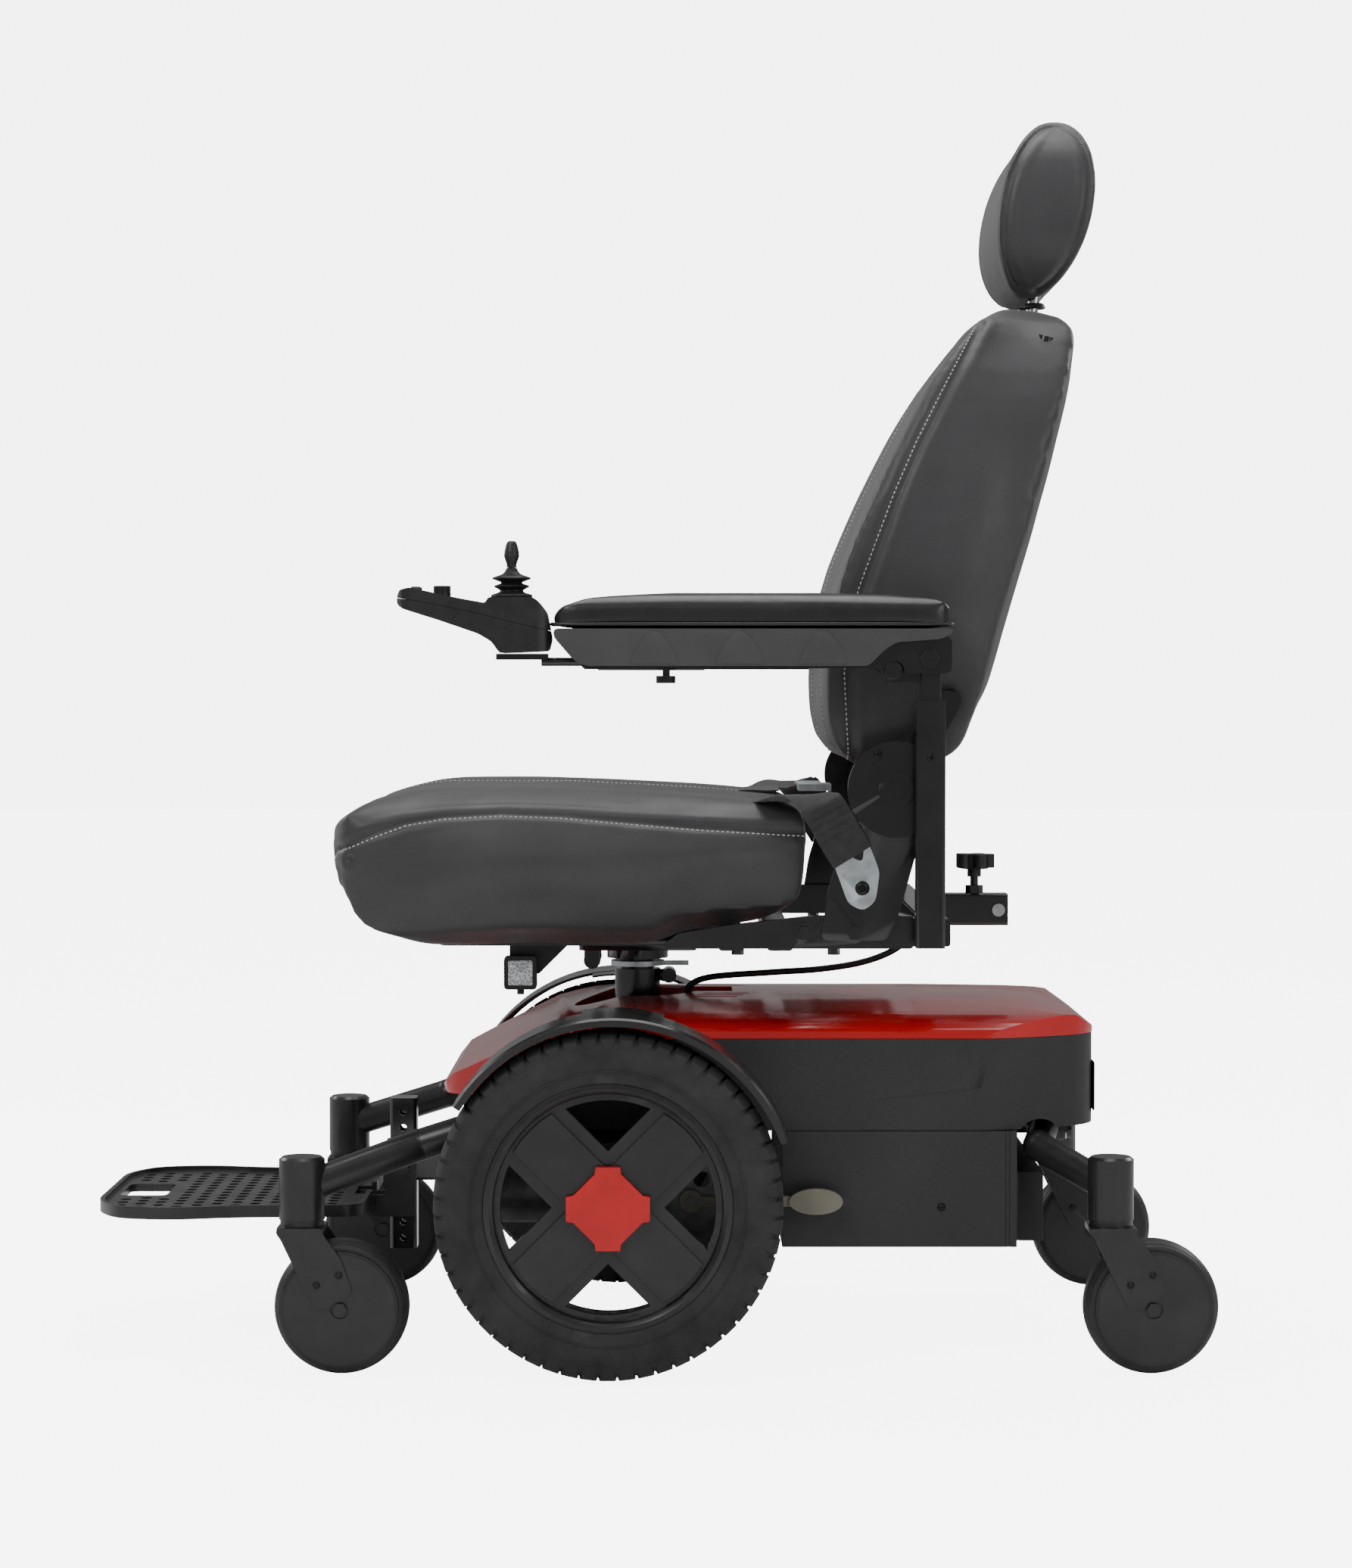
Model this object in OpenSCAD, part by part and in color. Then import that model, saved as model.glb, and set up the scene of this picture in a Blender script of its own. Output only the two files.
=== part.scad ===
// Mid-wheel-drive power wheelchair: a powered base with two driven wheels and
// four swivel casters, a swivelling captain seat, folding back and armrests,
// a joystick on the left armrest and a folding footplate.
// The chair faces -X, +Y is its right-hand side and +Z is up.  Sizes are in millimetres.
// Pieces are laid out from the drive axle and the floor, and moved last so that
// the origin is the bottom centre of the whole chair.

/* [Drive wheels] */
// Radius of the drive tyre
wheel_r = 165; // [150:1:200]
// Width of the drive tyre
tyre_w = 75; // [60:1:75]
// Radius of the rim under the tyre's bead
rim_r = 113; // [100:1:118]
// Distance from the chair's middle to the middle of a drive tyre
wheel_y = 267.5; // [267:0.5:320]
// Radius of the drive shaft
shaft_r = 12; // [9:0.5:15]
// Gap between the tyre and its fender
fender_gap = 8; // [6:1:14]

/* [Casters] */
// Radius of a caster tyre
caster_r = 64; // [52:1:76]
// Width of a caster tyre
caster_w = 36; // [30:1:40]
// Distance that a caster's axle trails its swivel axis
caster_trail = 38; // [30:1:46]
// Distance from the chair's middle to a caster's swivel axis
caster_y = 242; // [230:1:290]
// Distance of the front swivel axes ahead of the drive axle
front_reach = 292; // [285:1:345]
// Distance of the rear swivel axes behind the drive axle
rear_reach = 477; // [470:1:520]
// Radius of a swivel barrel
barrel_r = 21.8; // [18:0.2:26]
// Height of a swivel barrel
barrel_h = 57; // [50:1:64]
// Radius of a caster stem
stem_r = 8; // [6:0.5:10]
// Radius of a caster axle
caster_axle_r = 5; // [4:0.5:6]

/* [Powered base] */
// Half width of the body covers
cover_half_w = 190; // [184:1:190]
// Height of the body covers' lower edge
cover_z = 224; // [220:1:226]
// Wall of the body covers
cover_wall = 3; // [2:0.5:4]
// Radius of the arm and beam tubes
arm_tube_r = 15.5; // [13:0.5:15.5]
// Radius of the pins that the front arms and the rear beam turn on
pivot_r = 10; // [8:0.5:12]
// Radius of the seat post's outer tube
post_r = 23; // [21:0.5:26]
// Radius of the seat's swivel spindle
spindle_r = 17; // [14:0.5:19]

/* [Seat] */
// Width of the seat cushion
seat_w = 480; // [410:5:580]
// Height of the seat rails' underside
seat_z = 405; // [400:1:520]
// Width of the back cushion
back_w = 470; // [400:5:560]
// Radius of the pins that the back folds on
recline_pin_r = 10; // [8:0.5:14]
// Radius of the headrest posts
head_post_r = 6; // [5:0.5:8]
// Outer width of the accessory receiver
receiver_w = 32; // [28:1:38]
// Wall of the accessory receiver
receiver_wall = 3; // [2:0.5:4]
// Radius of the accessory receiver's cross pin
hitch_r = 4.5; // [3:0.5:5]

/* [Armrests] */
// Outer width of an arm socket tube
socket_w = 27; // [24:1:30]
// Wall of an arm socket tube
socket_wall = 3.5; // [2.5:0.5:4]
// Radius of an armrest's pivot bolt
arm_bolt_r = 4; // [3:0.5:5]
// Width of an armrest
arm_w = 61; // [55:1:70]
// Radius of the joystick's mounting rod
rod_r = 4; // [3:0.5:5]

/* [Joystick] */
// Width of the joystick housing
case_w = 60; // [54:1:66]
// Radius of the joystick's knob
knob_r = 7.2; // [6:0.2:9]
// Radius of a push button
button_r = 4.5; // [3.5:0.5:5]

/* [Footplate] */
// Width of the footplate's front
foot_w = 300; // [260:5:310]
// Thickness of the footplate
foot_t = 8; // [6:1:10]
// Radius of the footplate's hinge pin
foot_pin_r = 4; // [3:0.5:5]
// Radius of a perforation
perf_r = 5.5; // [4:0.5:6]

/* [Fits] */
// Radial clearance of a turning or sliding fit
run_gap = 0.05; // [0.02:0.01:0.1]
// Gap between pieces that move past each other
free_gap = 0.3; // [0.3:0.1:0.6]

/* [Hidden] */
$fn = 64;

left = -1;
right = 1;
sides = [left, right];

// Where the chair's ends are, from the drive axle
foot_tip_x = -front_reach - 219;
rear_end_x = rear_reach + caster_trail + caster_r;
x_mid = (foot_tip_x + rear_end_x) / 2;

// Heights and places on the base
axle_z = wheel_r;
barrel_z = 147;
barrel_top = barrel_z + barrel_h;
barrel_mid = barrel_z + barrel_h / 2;
cover_split_z = 313;
pivot_x = -110;
pivot_z = 236;
arm_y = cover_half_w + arm_tube_r + 2.5;
wheel_in = wheel_y - tyre_w / 2;
wheel_out = wheel_y + tyre_w / 2;
beam_x = 441;
beam_z = 207;
post_x = 24.5;
post_top = seat_z - 39;
rail_y = 130;
rail_z = 232;
rail_h = 30;
hanger_x = -213.5;
hanger_w = 27;
foot_pin_x = -250;
foot_pin_z = 128;
shaft_end = wheel_out - 12;

// Places on the seat, measured from the seat rails' underside
lift = seat_z - 405;
seat_half = seat_w / 2;
rail_in = seat_half + 2;
rail_out = rail_in + 12;
plate_out = rail_out + 4;
recline_x = 271;
recline_z = 556 + lift;
socket_x = 301;
socket_y = rail_out + 36;
socket_foot = 409 + lift;
socket_top = 640 + lift;
post_w = socket_w - 2 * socket_wall - 2 * free_gap;
arm_pivot_x = 299;
arm_pivot_z = 679 + lift;
arm_mid = socket_y - 9;
receiver_z = 426 + lift;
receiver_x = 325;
hitch_x = 390;
knob_x = 367;
head_x = 427;
head_z = 1126 + lift;
head_tilt = 11;
head_post_y = 45;
joy_y = -arm_mid;
joy_x = -90;
joy_z = 722 + lift;
rod_z = 676 + lift;

// ---------------------------------------------------------------- helpers
function toward(v) = v / norm(v);
function corner(a, p, b, r, n) =
    let (ra = min(r, 0.45 * norm(a - p)), rb = min(r, 0.45 * norm(b - p)))
    let (p1 = p + toward(a - p) * ra, p2 = p + toward(b - p) * rb)
    [for (i = [0:n]) let (t = i / n) (1 - t) * (1 - t) * p1 + 2 * t * (1 - t) * p + t * t * p2];
// The outline with each corner rounded over about r
function rounded(pts, r, n = 3) =
    let (m = len(pts))
    [for (i = [0:m - 1]) each corner(pts[(i + m - 1) % m], pts[i], pts[(i + 1) % m], r, n)];
function box_pts(a, b) = [[a[0], a[1]], [b[0], a[1]], [b[0], b[1]], [a[0], b[1]]];
function raised(pts, dz) = [for (p = pts) [p[0], p[1] + dz]];

module place() { translate([-x_mid, 0, 0]) children(); }
module on_side(s) { mirror([0, s < 0 ? 1 : 0, 0]) children(); }
// Outline in X and Z, from y0 to y1
module xz(pts, y0, y1) {
    translate([0, y1, 0]) rotate([90, 0, 0]) linear_extrude(y1 - y0) polygon(pts);
}
// Outline in Y and Z, from x0 to x1
module yz(pts, x0, x1) {
    translate([x0, 0, 0]) rotate([90, 0, 90]) linear_extrude(x1 - x0) polygon(pts);
}
// Outline in X and Y, from z0 to z1
module xy(pts, z0, z1) {
    translate([0, 0, z0]) linear_extrude(z1 - z0) polygon(pts);
}
module cyl_y(x, z, y0, y1, r) {
    translate([x, y1, z]) rotate([90, 0, 0]) cylinder(h = y1 - y0, r = r);
}
module cyl_x(y, z, x0, x1, r) {
    translate([x0, y, z]) rotate([0, 90, 0]) cylinder(h = x1 - x0, r = r);
}
module cyl_z(x, y, z0, z1, r) {
    translate([x, y, z0]) cylinder(h = z1 - z0, r = r);
}
module box(a, b) { translate(a) cube(b - a); }
// Round bar from p to q
module rod(p, q, r) {
    d = q - p;
    translate(p) rotate([0, acos(d[2] / norm(d)), atan2(d[1], d[0])]) cylinder(h = norm(d), r = r);
}
// Turns a piece made about +Z so that it lies about +Y, from y outwards
module across(x, z, y) { translate([x, y, z]) rotate([-90, 0, 0]) children(); }

// ---------------------------------------------------------------- powered base
module chassis_frame() {
    front_bar = pivot_x;
    rear_bar = 384;
    color([0.09, 0.09, 0.1]) place() {
        difference() {
            union() {
                for (s = sides) on_side(s)
                    yz(rounded(box_pts([rail_y - 12, rail_z], [rail_y + 12, rail_z + rail_h]), 4),
                        front_bar - 13, rear_bar + 12);
                for (x = [front_bar, post_x, rear_bar])
                    xz(rounded(box_pts([x - 13, rail_z], [x + 13, rail_z + rail_h]), 4),
                        -rail_y, rail_y);
                cyl_y(pivot_x, pivot_z, -wheel_in + 3, wheel_in - 3, pivot_r);
                cyl_z(post_x, 0, rail_z - 6, 300, post_r + 7);
                // motor hangers
                for (s = sides) on_side(s)
                    box([post_x - 50, rail_y - 12, 214], [post_x + 10, rail_y + 44, rail_z]);
                // rear plate and beam pin
                yz(rounded(box_pts([-60, 186], [60, rail_z + rail_h]), 8), rear_bar + 12, rear_bar + 19);
                cyl_x(0, beam_z, rear_bar + 19, beam_x + 20, pivot_r);
                cyl_x(0, beam_z, beam_x + 20, beam_x + 24, pivot_r + 6);
                // tongue and upright bar that carry the footplate
                yz(rounded(box_pts([-12, 150], [12, 186]), 3), hanger_x + 13, front_bar - 12);
                xy(rounded(box_pts([front_bar - 26, -12], [front_bar, 12]), 3), 150, rail_z + 20);
                xy(rounded(box_pts([hanger_x - hanger_w / 2, -hanger_w / 2],
                    [hanger_x + hanger_w / 2, hanger_w / 2]), 3), 81, 234);
            }
            cyl_z(post_x, 0, rail_z, 301, post_r + run_gap);
            box([hanger_x - 10, -10, 80], [hanger_x + 10, 10, 231]);
            for (i = [0:8])
                cyl_y(hanger_x, 92 + 16 * i, -20, 20, 3.6);
        }
    }
}

module battery_case() {
    color([0.17, 0.17, 0.175]) place() {
        difference() {
            union() {
                box([166, -cover_half_w, 111], [393, cover_half_w, cover_z - 0.5]);
                box([393, -150, 111], [399, 150, 178]);
                box([399, -145, 110], [423, 145, 178]);
            }
            box([170, -cover_half_w + 4, 115], [389, cover_half_w - 4, cover_z + 1]);
            box([403, -141, 109], [419, 141, 174]);
            // lifting-grip recess in each flank
            for (s = sides) on_side(s)
                box([382, cover_half_w - 1.2, 108], [386, cover_half_w + 1, cover_z + 1]);
        }
    }
}

module battery_pack() {
    color([0.25, 0.28, 0.3]) place()
        for (s = sides) on_side(s) {
            box([174, 3, 116], [385, 182, 214]);
            for (x = [200, 360]) cyl_z(x, 92, 214, 221, 7);
        }
}

// Side outlines of the covers; t shrinks each one inwards by the cover's wall
function nose(t) = [[pivot_x - 50 + t, 257 + t], [pivot_x - 54 + t, 264], [pivot_x - 44 + t, 276 - t]];
function crown_pts(t) = [
    each nose(t), [-60, 322 - t], [10, 343 - t], [100, 345 - t],
    [260, 343.5 - t], [400, 337 - t], [455, 332 - t], [475 - t, 318 - t], [477 - t, 300],
    [477 - t, 250], [-140 + t, 250 + t]
];
function lower_pts(t) = [
    [-146 + t, 257], [-142 + t, 244], [-128 + t, 228], [40, cover_z - 2 * t], [475 - t, cover_z - 2 * t],
    [475 - t, cover_split_z + 2 * t], [-80, cover_split_z + 2 * t]
];
// Plan outline of both covers
function cover_plan(t) = let (w = cover_half_w - t) rounded([
    [-166 + t, -150 + t], [-166 + t, 150 - t], [-130, w - 10], [-60, w], [380, w], [475 - t, w - 50],
    [475 - t, -w + 50], [380, -w], [-60, -w], [-130, -w + 10]
], 38, 5);
// Cross-section of the top cover, crowned towards the middle
function cover_section(t) = let (w = cover_half_w - t) rounded([
    [-w, 240], [-w, 312], [-w + 6, 326 - t], [-w + 36, 334 - t], [-90, 342 - t], [0, 345.5 - t],
    [90, 342 - t], [w - 36, 334 - t], [w - 6, 326 - t], [w, 312], [w, 240]
], 14, 3);
// The line where the two covers meet, as the region above it
split_pts = [
    [-220, 256], [pivot_x - 8, 257], [60, cover_split_z], [520, cover_split_z], [520, 400], [-220, 400]
];

module top_cover_form(t) {
    intersection() {
        xz(crown_pts(t), -cover_half_w, cover_half_w);
        xy(cover_plan(t), 200, 400);
        yz(cover_section(t), -220, 520);
    }
}
module top_shroud() {
    color([0.72, 0.04, 0.05]) place() {
        difference() {
            intersection() {
                top_cover_form(0);
                xz(split_pts, -cover_half_w, cover_half_w);
            }
            top_cover_form(cover_wall);
            cyl_z(post_x, 0, 200, 400, 64);
            box([post_x + 20, -26, 320], [post_x + 96, 26, 400]);
            // vent slots beside the post
            for (s = sides, i = [0:2]) on_side(s)
                box([post_x + 66 - 6 * i, 40 + 13 * i, 320], [post_x + 112 - 6 * i, 45 + 13 * i, 400]);
        }
    }
}

module lower_shroud() {
    module form(t) {
        intersection() {
            xz(lower_pts(t), -cover_half_w, cover_half_w);
            xy(cover_plan(t + 0.5), 200, 400);
        }
    }
    color([0.16, 0.16, 0.165]) place() {
        difference() {
            form(0);
            form(cover_wall);
            xz(raised(split_pts, -free_gap), -cover_half_w - 1, cover_half_w + 1);
            cyl_y(pivot_x, pivot_z, -cover_half_w - 1, cover_half_w + 1, pivot_r + 3);
            box([-170, -16, 200], [pivot_x - 4, 16, 256]);
            // relief over the rear beam's bends, which rise as it rocks
            cyl_y(beam_x - 25, beam_z + 2, -cover_half_w - 1, -130, arm_tube_r + 8.5);
            cyl_y(beam_x - 25, beam_z + 2, 130, cover_half_w + 1, arm_tube_r + 8.5);
            // shallow body line along each flank
            for (s = sides) on_side(s)
                xz([[227, 200], [260, 255], [330, 262], [520, 283], [520, 200]],
                    cover_half_w - 1.6, cover_half_w + 2);
        }
        // rear bumper strip
        difference() {
            xz(rounded([[466, 230], [476, 234], [476, 284], [466, 287]], 3), -120, 120);
            box([460, -130, 225], [475.2, 130, 290]);
        }
    }
}

module fenders() {
    inner = wheel_r + fender_gap;
    color([0.05, 0.05, 0.055]) place()
        for (s = sides) on_side(s)
            translate([4, 0, axle_z + 3]) rotate([-90, 0, 0]) {
                translate([0, 0, wheel_in - 1]) rotate([0, 0, -148]) rotate_extrude(angle = 128)
                    polygon([[inner, 0], [inner + 3, 0], [inner + 3, tyre_w - 2],
                        [inner + 1, tyre_w + 1], [inner - 5, tyre_w + 1], [inner - 5, tyre_w - 1.5],
                        [inner, tyre_w - 1.5]]);
                // tab that reaches the body
                translate([0, 0, cover_half_w + 0.5]) rotate([0, 0, -100]) rotate_extrude(angle = 26)
                    polygon([[inner + 0.5, 0], [inner + 2.5, 0],
                        [inner + 2.5, wheel_in - cover_half_w], [inner + 0.5, wheel_in - cover_half_w]]);
            }
}

module power_module() {
    color([0.2, 0.2, 0.22]) place() difference() {
        union() {
            box([200, -95, 266], [372, 95, 300]);
            for (i = [0:8]) box([212 + 17 * i, -90, 300], [216 + 17 * i, 90, 308]);
        }
        for (s = sides) on_side(s) box([196, 30, 274], [206, 70, 294]);
    }
}

module drive_motors() {
    color([0.35, 0.36, 0.37]) place()
        for (s = sides) on_side(s) {
            // gearbox and output shaft
            xz(rounded(box_pts([-48, axle_z - 46], [52, 213.7]), 14), 140, 206);
            cyl_y(0, axle_z, 206, 214, 34);
            cyl_y(0, axle_z, 214, shaft_end, shaft_r);
            // motor body along the chair
            cyl_x(172, axle_z, -132, -48, 32);
            cyl_x(172, axle_z, -140, -132, 24);
            // brake plate with the release lever's pin
            difference() {
                xz(rounded(box_pts([52, axle_z - 36], [104, axle_z + 32]), 10), 196, 202);
                cyl_y(88, axle_z + 14, 190, 210, 8);
            }
            cyl_y(78, axle_z - 7, 202, 209, 5);
        }
}

module seat_post() {
    color([0.06, 0.06, 0.065]) place() difference() {
        union() {
            cyl_z(post_x, 0, rail_z + 1, post_top, post_r);
            // clamp boss and knob behind the tube
            cyl_x(0, post_top - 7, post_x + post_r - 6, post_x + post_r + 8, 6);
            cyl_y(post_x + post_r + 9, post_top - 7, -14, 14, 7.5);
        }
        cyl_z(post_x, 0, rail_z, post_top + 1, spindle_r + run_gap);
    }
}

module freewheel_lever(s) {
    color([0.5, 0.49, 0.43]) place() on_side(s) difference() {
        union() {
            cyl_y(78, axle_z - 7, 203, 208, 11);
            xz(box_pts([78, axle_z - 12], [185, axle_z - 2]), 203, 208);
            xz([for (i = [0:23]) [198 + 26 * cos(15 * i), axle_z - 7 + 12.5 * sin(15 * i)]], 203, 211);
        }
        cyl_y(78, axle_z - 7, 200, 212, 5 + run_gap);
    }
}

// ---------------------------------------------------------------- suspension and wheels
module barrel(x, y) {
    cyl_z(x, y, barrel_z, barrel_top, barrel_r);
    translate([x, y, barrel_top]) cylinder(h = 2.5, r1 = barrel_r - 0.4, r2 = barrel_r - 3);
}
module stem_bore(x, y) {
    cyl_z(x, y, barrel_z - 1, barrel_top - 6, stem_r + run_gap);
}

module front_arm(s) {
    swivel = [-front_reach, caster_y, barrel_mid];
    elbow = [-182, arm_y, 213];
    color([0.07, 0.07, 0.075]) place() on_side(s) difference() {
        union() {
            barrel(-front_reach, caster_y);
            rod(swivel, elbow, arm_tube_r - 0.3);
            translate(elbow) sphere(r = arm_tube_r);
            rod(elbow, [pivot_x, arm_y, pivot_z], arm_tube_r - 0.3);
            cyl_y(pivot_x, pivot_z, cover_half_w + 3, wheel_in - 4, pivot_r + 8);
        }
        stem_bore(-front_reach, caster_y);
        cyl_y(pivot_x, pivot_z, cover_half_w, wheel_in, pivot_r + run_gap);
    }
}

module rear_beam() {
    color([0.07, 0.07, 0.075]) place() difference() {
        union() {
            cyl_x(0, beam_z, beam_x - 18, beam_x + 18, pivot_r + 8);
            for (s = sides) on_side(s) {
                bend = [beam_x - 26, 170, beam_z];
                barrel(rear_reach, caster_y);
                rod([beam_x, -5, beam_z], bend, arm_tube_r - 1);
                translate(bend) sphere(r = arm_tube_r - 0.7);
                rod(bend, [rear_reach, caster_y, barrel_mid], arm_tube_r - 1);
            }
        }
        for (s = sides) on_side(s) stem_bore(rear_reach, caster_y);
        cyl_x(0, beam_z, beam_x - 19, beam_x + 19, pivot_r + run_gap);
    }
}

// x and y of each swivel axis, by the node's ending
function corner_at(c) =
    [c[0] == "f" ? -front_reach : rear_reach, c[1] == "l" ? -caster_y : caster_y];

module caster_fork(c) {
    at = corner_at(c);
    leg_in = caster_w / 2 + 4.5;
    leg_out = leg_in + 3.5;
    cover_r = caster_r - 9.6;
    t = caster_trail;
    az = caster_r;
    leg = [[-22, 141], [22, 141], [22, 136], [t + 1, az + 48], [t + 12, az + 17],
        [t - 6, az + 2], [t - 23, az], [t - 38, az + 29], [-18, 131], [-22, 136]];
    color([0.1, 0.1, 0.105]) place() translate([at[0], at[1], 0]) {
        difference() {
            union() {
                cyl_z(0, 0, barrel_z - 7, barrel_top - 7, stem_r);
                cyl_z(0, 0, barrel_z - 7, barrel_z - free_gap, barrel_r - 1);
                xy(rounded(box_pts([-22, -leg_out], [22, leg_out]), 4), 136, 141);
                for (s = sides) on_side(s) xz(rounded(leg, 3, 2), leg_in, leg_out);
            }
            cyl_y(t, az, -leg_out - 1, leg_out + 1, 9);
        }
        // fixed discs that cover the wheel's faces
        for (s = sides) on_side(s) difference() {
            union() {
                cyl_y(t, az, caster_w / 2 + 1, leg_in, cover_r);
                cyl_y(t, az, leg_in, leg_in + 1.2, cover_r - 2);
            }
            cyl_y(t, az, 0, 40, 9);
            xz(rounded(leg, 3, 2), leg_in, leg_out);
        }
        // axle bolt
        cyl_y(t, az, -leg_in, leg_in, caster_axle_r);
        for (s = sides) on_side(s) {
            cyl_y(t, az, caster_w / 2 + 1, leg_in - 1, 9);
            translate([t, leg_in + 2.5, az]) rotate([90, 0, 0]) cylinder(h = 4, r = 6.5, $fn = 6);
        }
        // two screws that hold each disc to its leg
        for (s = sides, p = [[t - 22, az + 23.5], [t - 1, az + 33]]) on_side(s)
            cyl_y(p[0], p[1], leg_out, leg_out + 1, 3.4);
    }
}

module caster_wheel(c) {
    at = corner_at(c);
    half = caster_w / 2;
    core = caster_r - 14;
    gap = run_gap;
    color([0.08, 0.08, 0.08]) place()
        translate([at[0] + caster_trail, at[1], caster_r]) rotate([-90, 0, 0]) {
            rotate_extrude() polygon([
                [core, -half + 2], [core + 8, -half], [caster_r - 3, -half + 5], [caster_r, -half + 11],
                [caster_r, half - 11], [caster_r - 3, half - 5], [core + 8, half], [core, half - 2]
            ]);
            rotate_extrude() polygon([
                [caster_axle_r + gap, -half], [16, -half], [18, -half + 5], [core - 6, -half + 5],
                [core - 3, -half + 1.5], [core, -half + 1.5], [core, half - 1.5], [core - 3, half - 1.5],
                [core - 6, half - 5], [18, half - 5], [16, half], [caster_axle_r + gap, half]
            ]);
        }
}

// The rim is made about +Z with its inner side at 0
module drive_rim(s) {
    w = tyre_w;
    spoke_w = 75;
    panel_w = 51;
    face = w - 15;
    color([0.06, 0.06, 0.062]) place() on_side(s) across(0, axle_z, wheel_in) difference() {
        union() {
            rotate_extrude() polygon([
                [rim_r - 6, 4], [rim_r, 4], [rim_r, w - 12], [rim_r + 4, w - 8], [rim_r + 4, w - 3],
                [rim_r - 1, w - 2], [rim_r - 5, w - 5], [rim_r - 6, w - 9]
            ]);
            difference() {
                translate([0, 0, face - 6]) cylinder(h = 9, r = rim_r - 5);
                // four windows between the crossed spokes
                difference() {
                    translate([0, 0, face - 7]) cylinder(h = 11, r = rim_r - 12);
                    for (a = [45, 135])
                        rotate([0, 0, a]) translate([-rim_r, -spoke_w / 2, face - 8])
                            cube([2 * rim_r, spoke_w, 13]);
                }
            }
            // raised panel on each spoke
            intersection() {
                translate([0, 0, face]) cylinder(h = 7, r = rim_r - 10);
                for (a = [45, 135])
                    rotate([0, 0, a]) translate([-rim_r, -panel_w / 2, face])
                        cube([2 * rim_r, panel_w, 7]);
            }
            translate([0, 0, 14]) cylinder(h = face - 14, r = shaft_r + 13);
        }
        translate([0, 0, -1]) cylinder(h = w + 2, r = shaft_r + run_gap);
    }
}

module drive_tyre(s) {
    w = tyre_w;
    r = wheel_r;
    depth = 3;
    color([0.09, 0.09, 0.09]) place() on_side(s) across(0, axle_z, wheel_in)
        rotate_extrude() polygon([
            [rim_r, 6], [rim_r + 8, 2], [rim_r + 24, 0], [r - 20, 2], [r - 8, 8], [r - 2, 15], [r, 22],
            [r, w / 2 - 9], [r - depth, w / 2 - 7], [r - depth, w / 2 + 7], [r, w / 2 + 9],
            [r, w - 22], [r - 2, w - 15], [r - 8, w - 8], [r - 20, w - 2], [rim_r + 24, w],
            [rim_r + 8, w - 2], [rim_r + 4, w - 3], [rim_r + 4, w - 8], [rim_r, w - 12]
        ]);
}

module hub_cap(s) {
    h = 39.5;
    tab = 11.6;
    step = 6.8;
    back = tyre_w - 8;
    quarter = [[tab, h], [tab + 1, h - step], [h - step, tab + 1], [h, tab]];
    outline = [for (a = [0:3]) for (p = quarter)
        [p[0] * cos(90 * a) + p[1] * sin(90 * a), -p[0] * sin(90 * a) + p[1] * cos(90 * a)]];
    color([0.78, 0.05, 0.06]) place() on_side(s) across(0, axle_z, wheel_in) difference() {
        translate([0, 0, back]) linear_extrude(7) polygon(outline);
        translate([0, 0, back - 1]) cylinder(h = 4.5, r = shaft_r + 6);
    }
}

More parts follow.
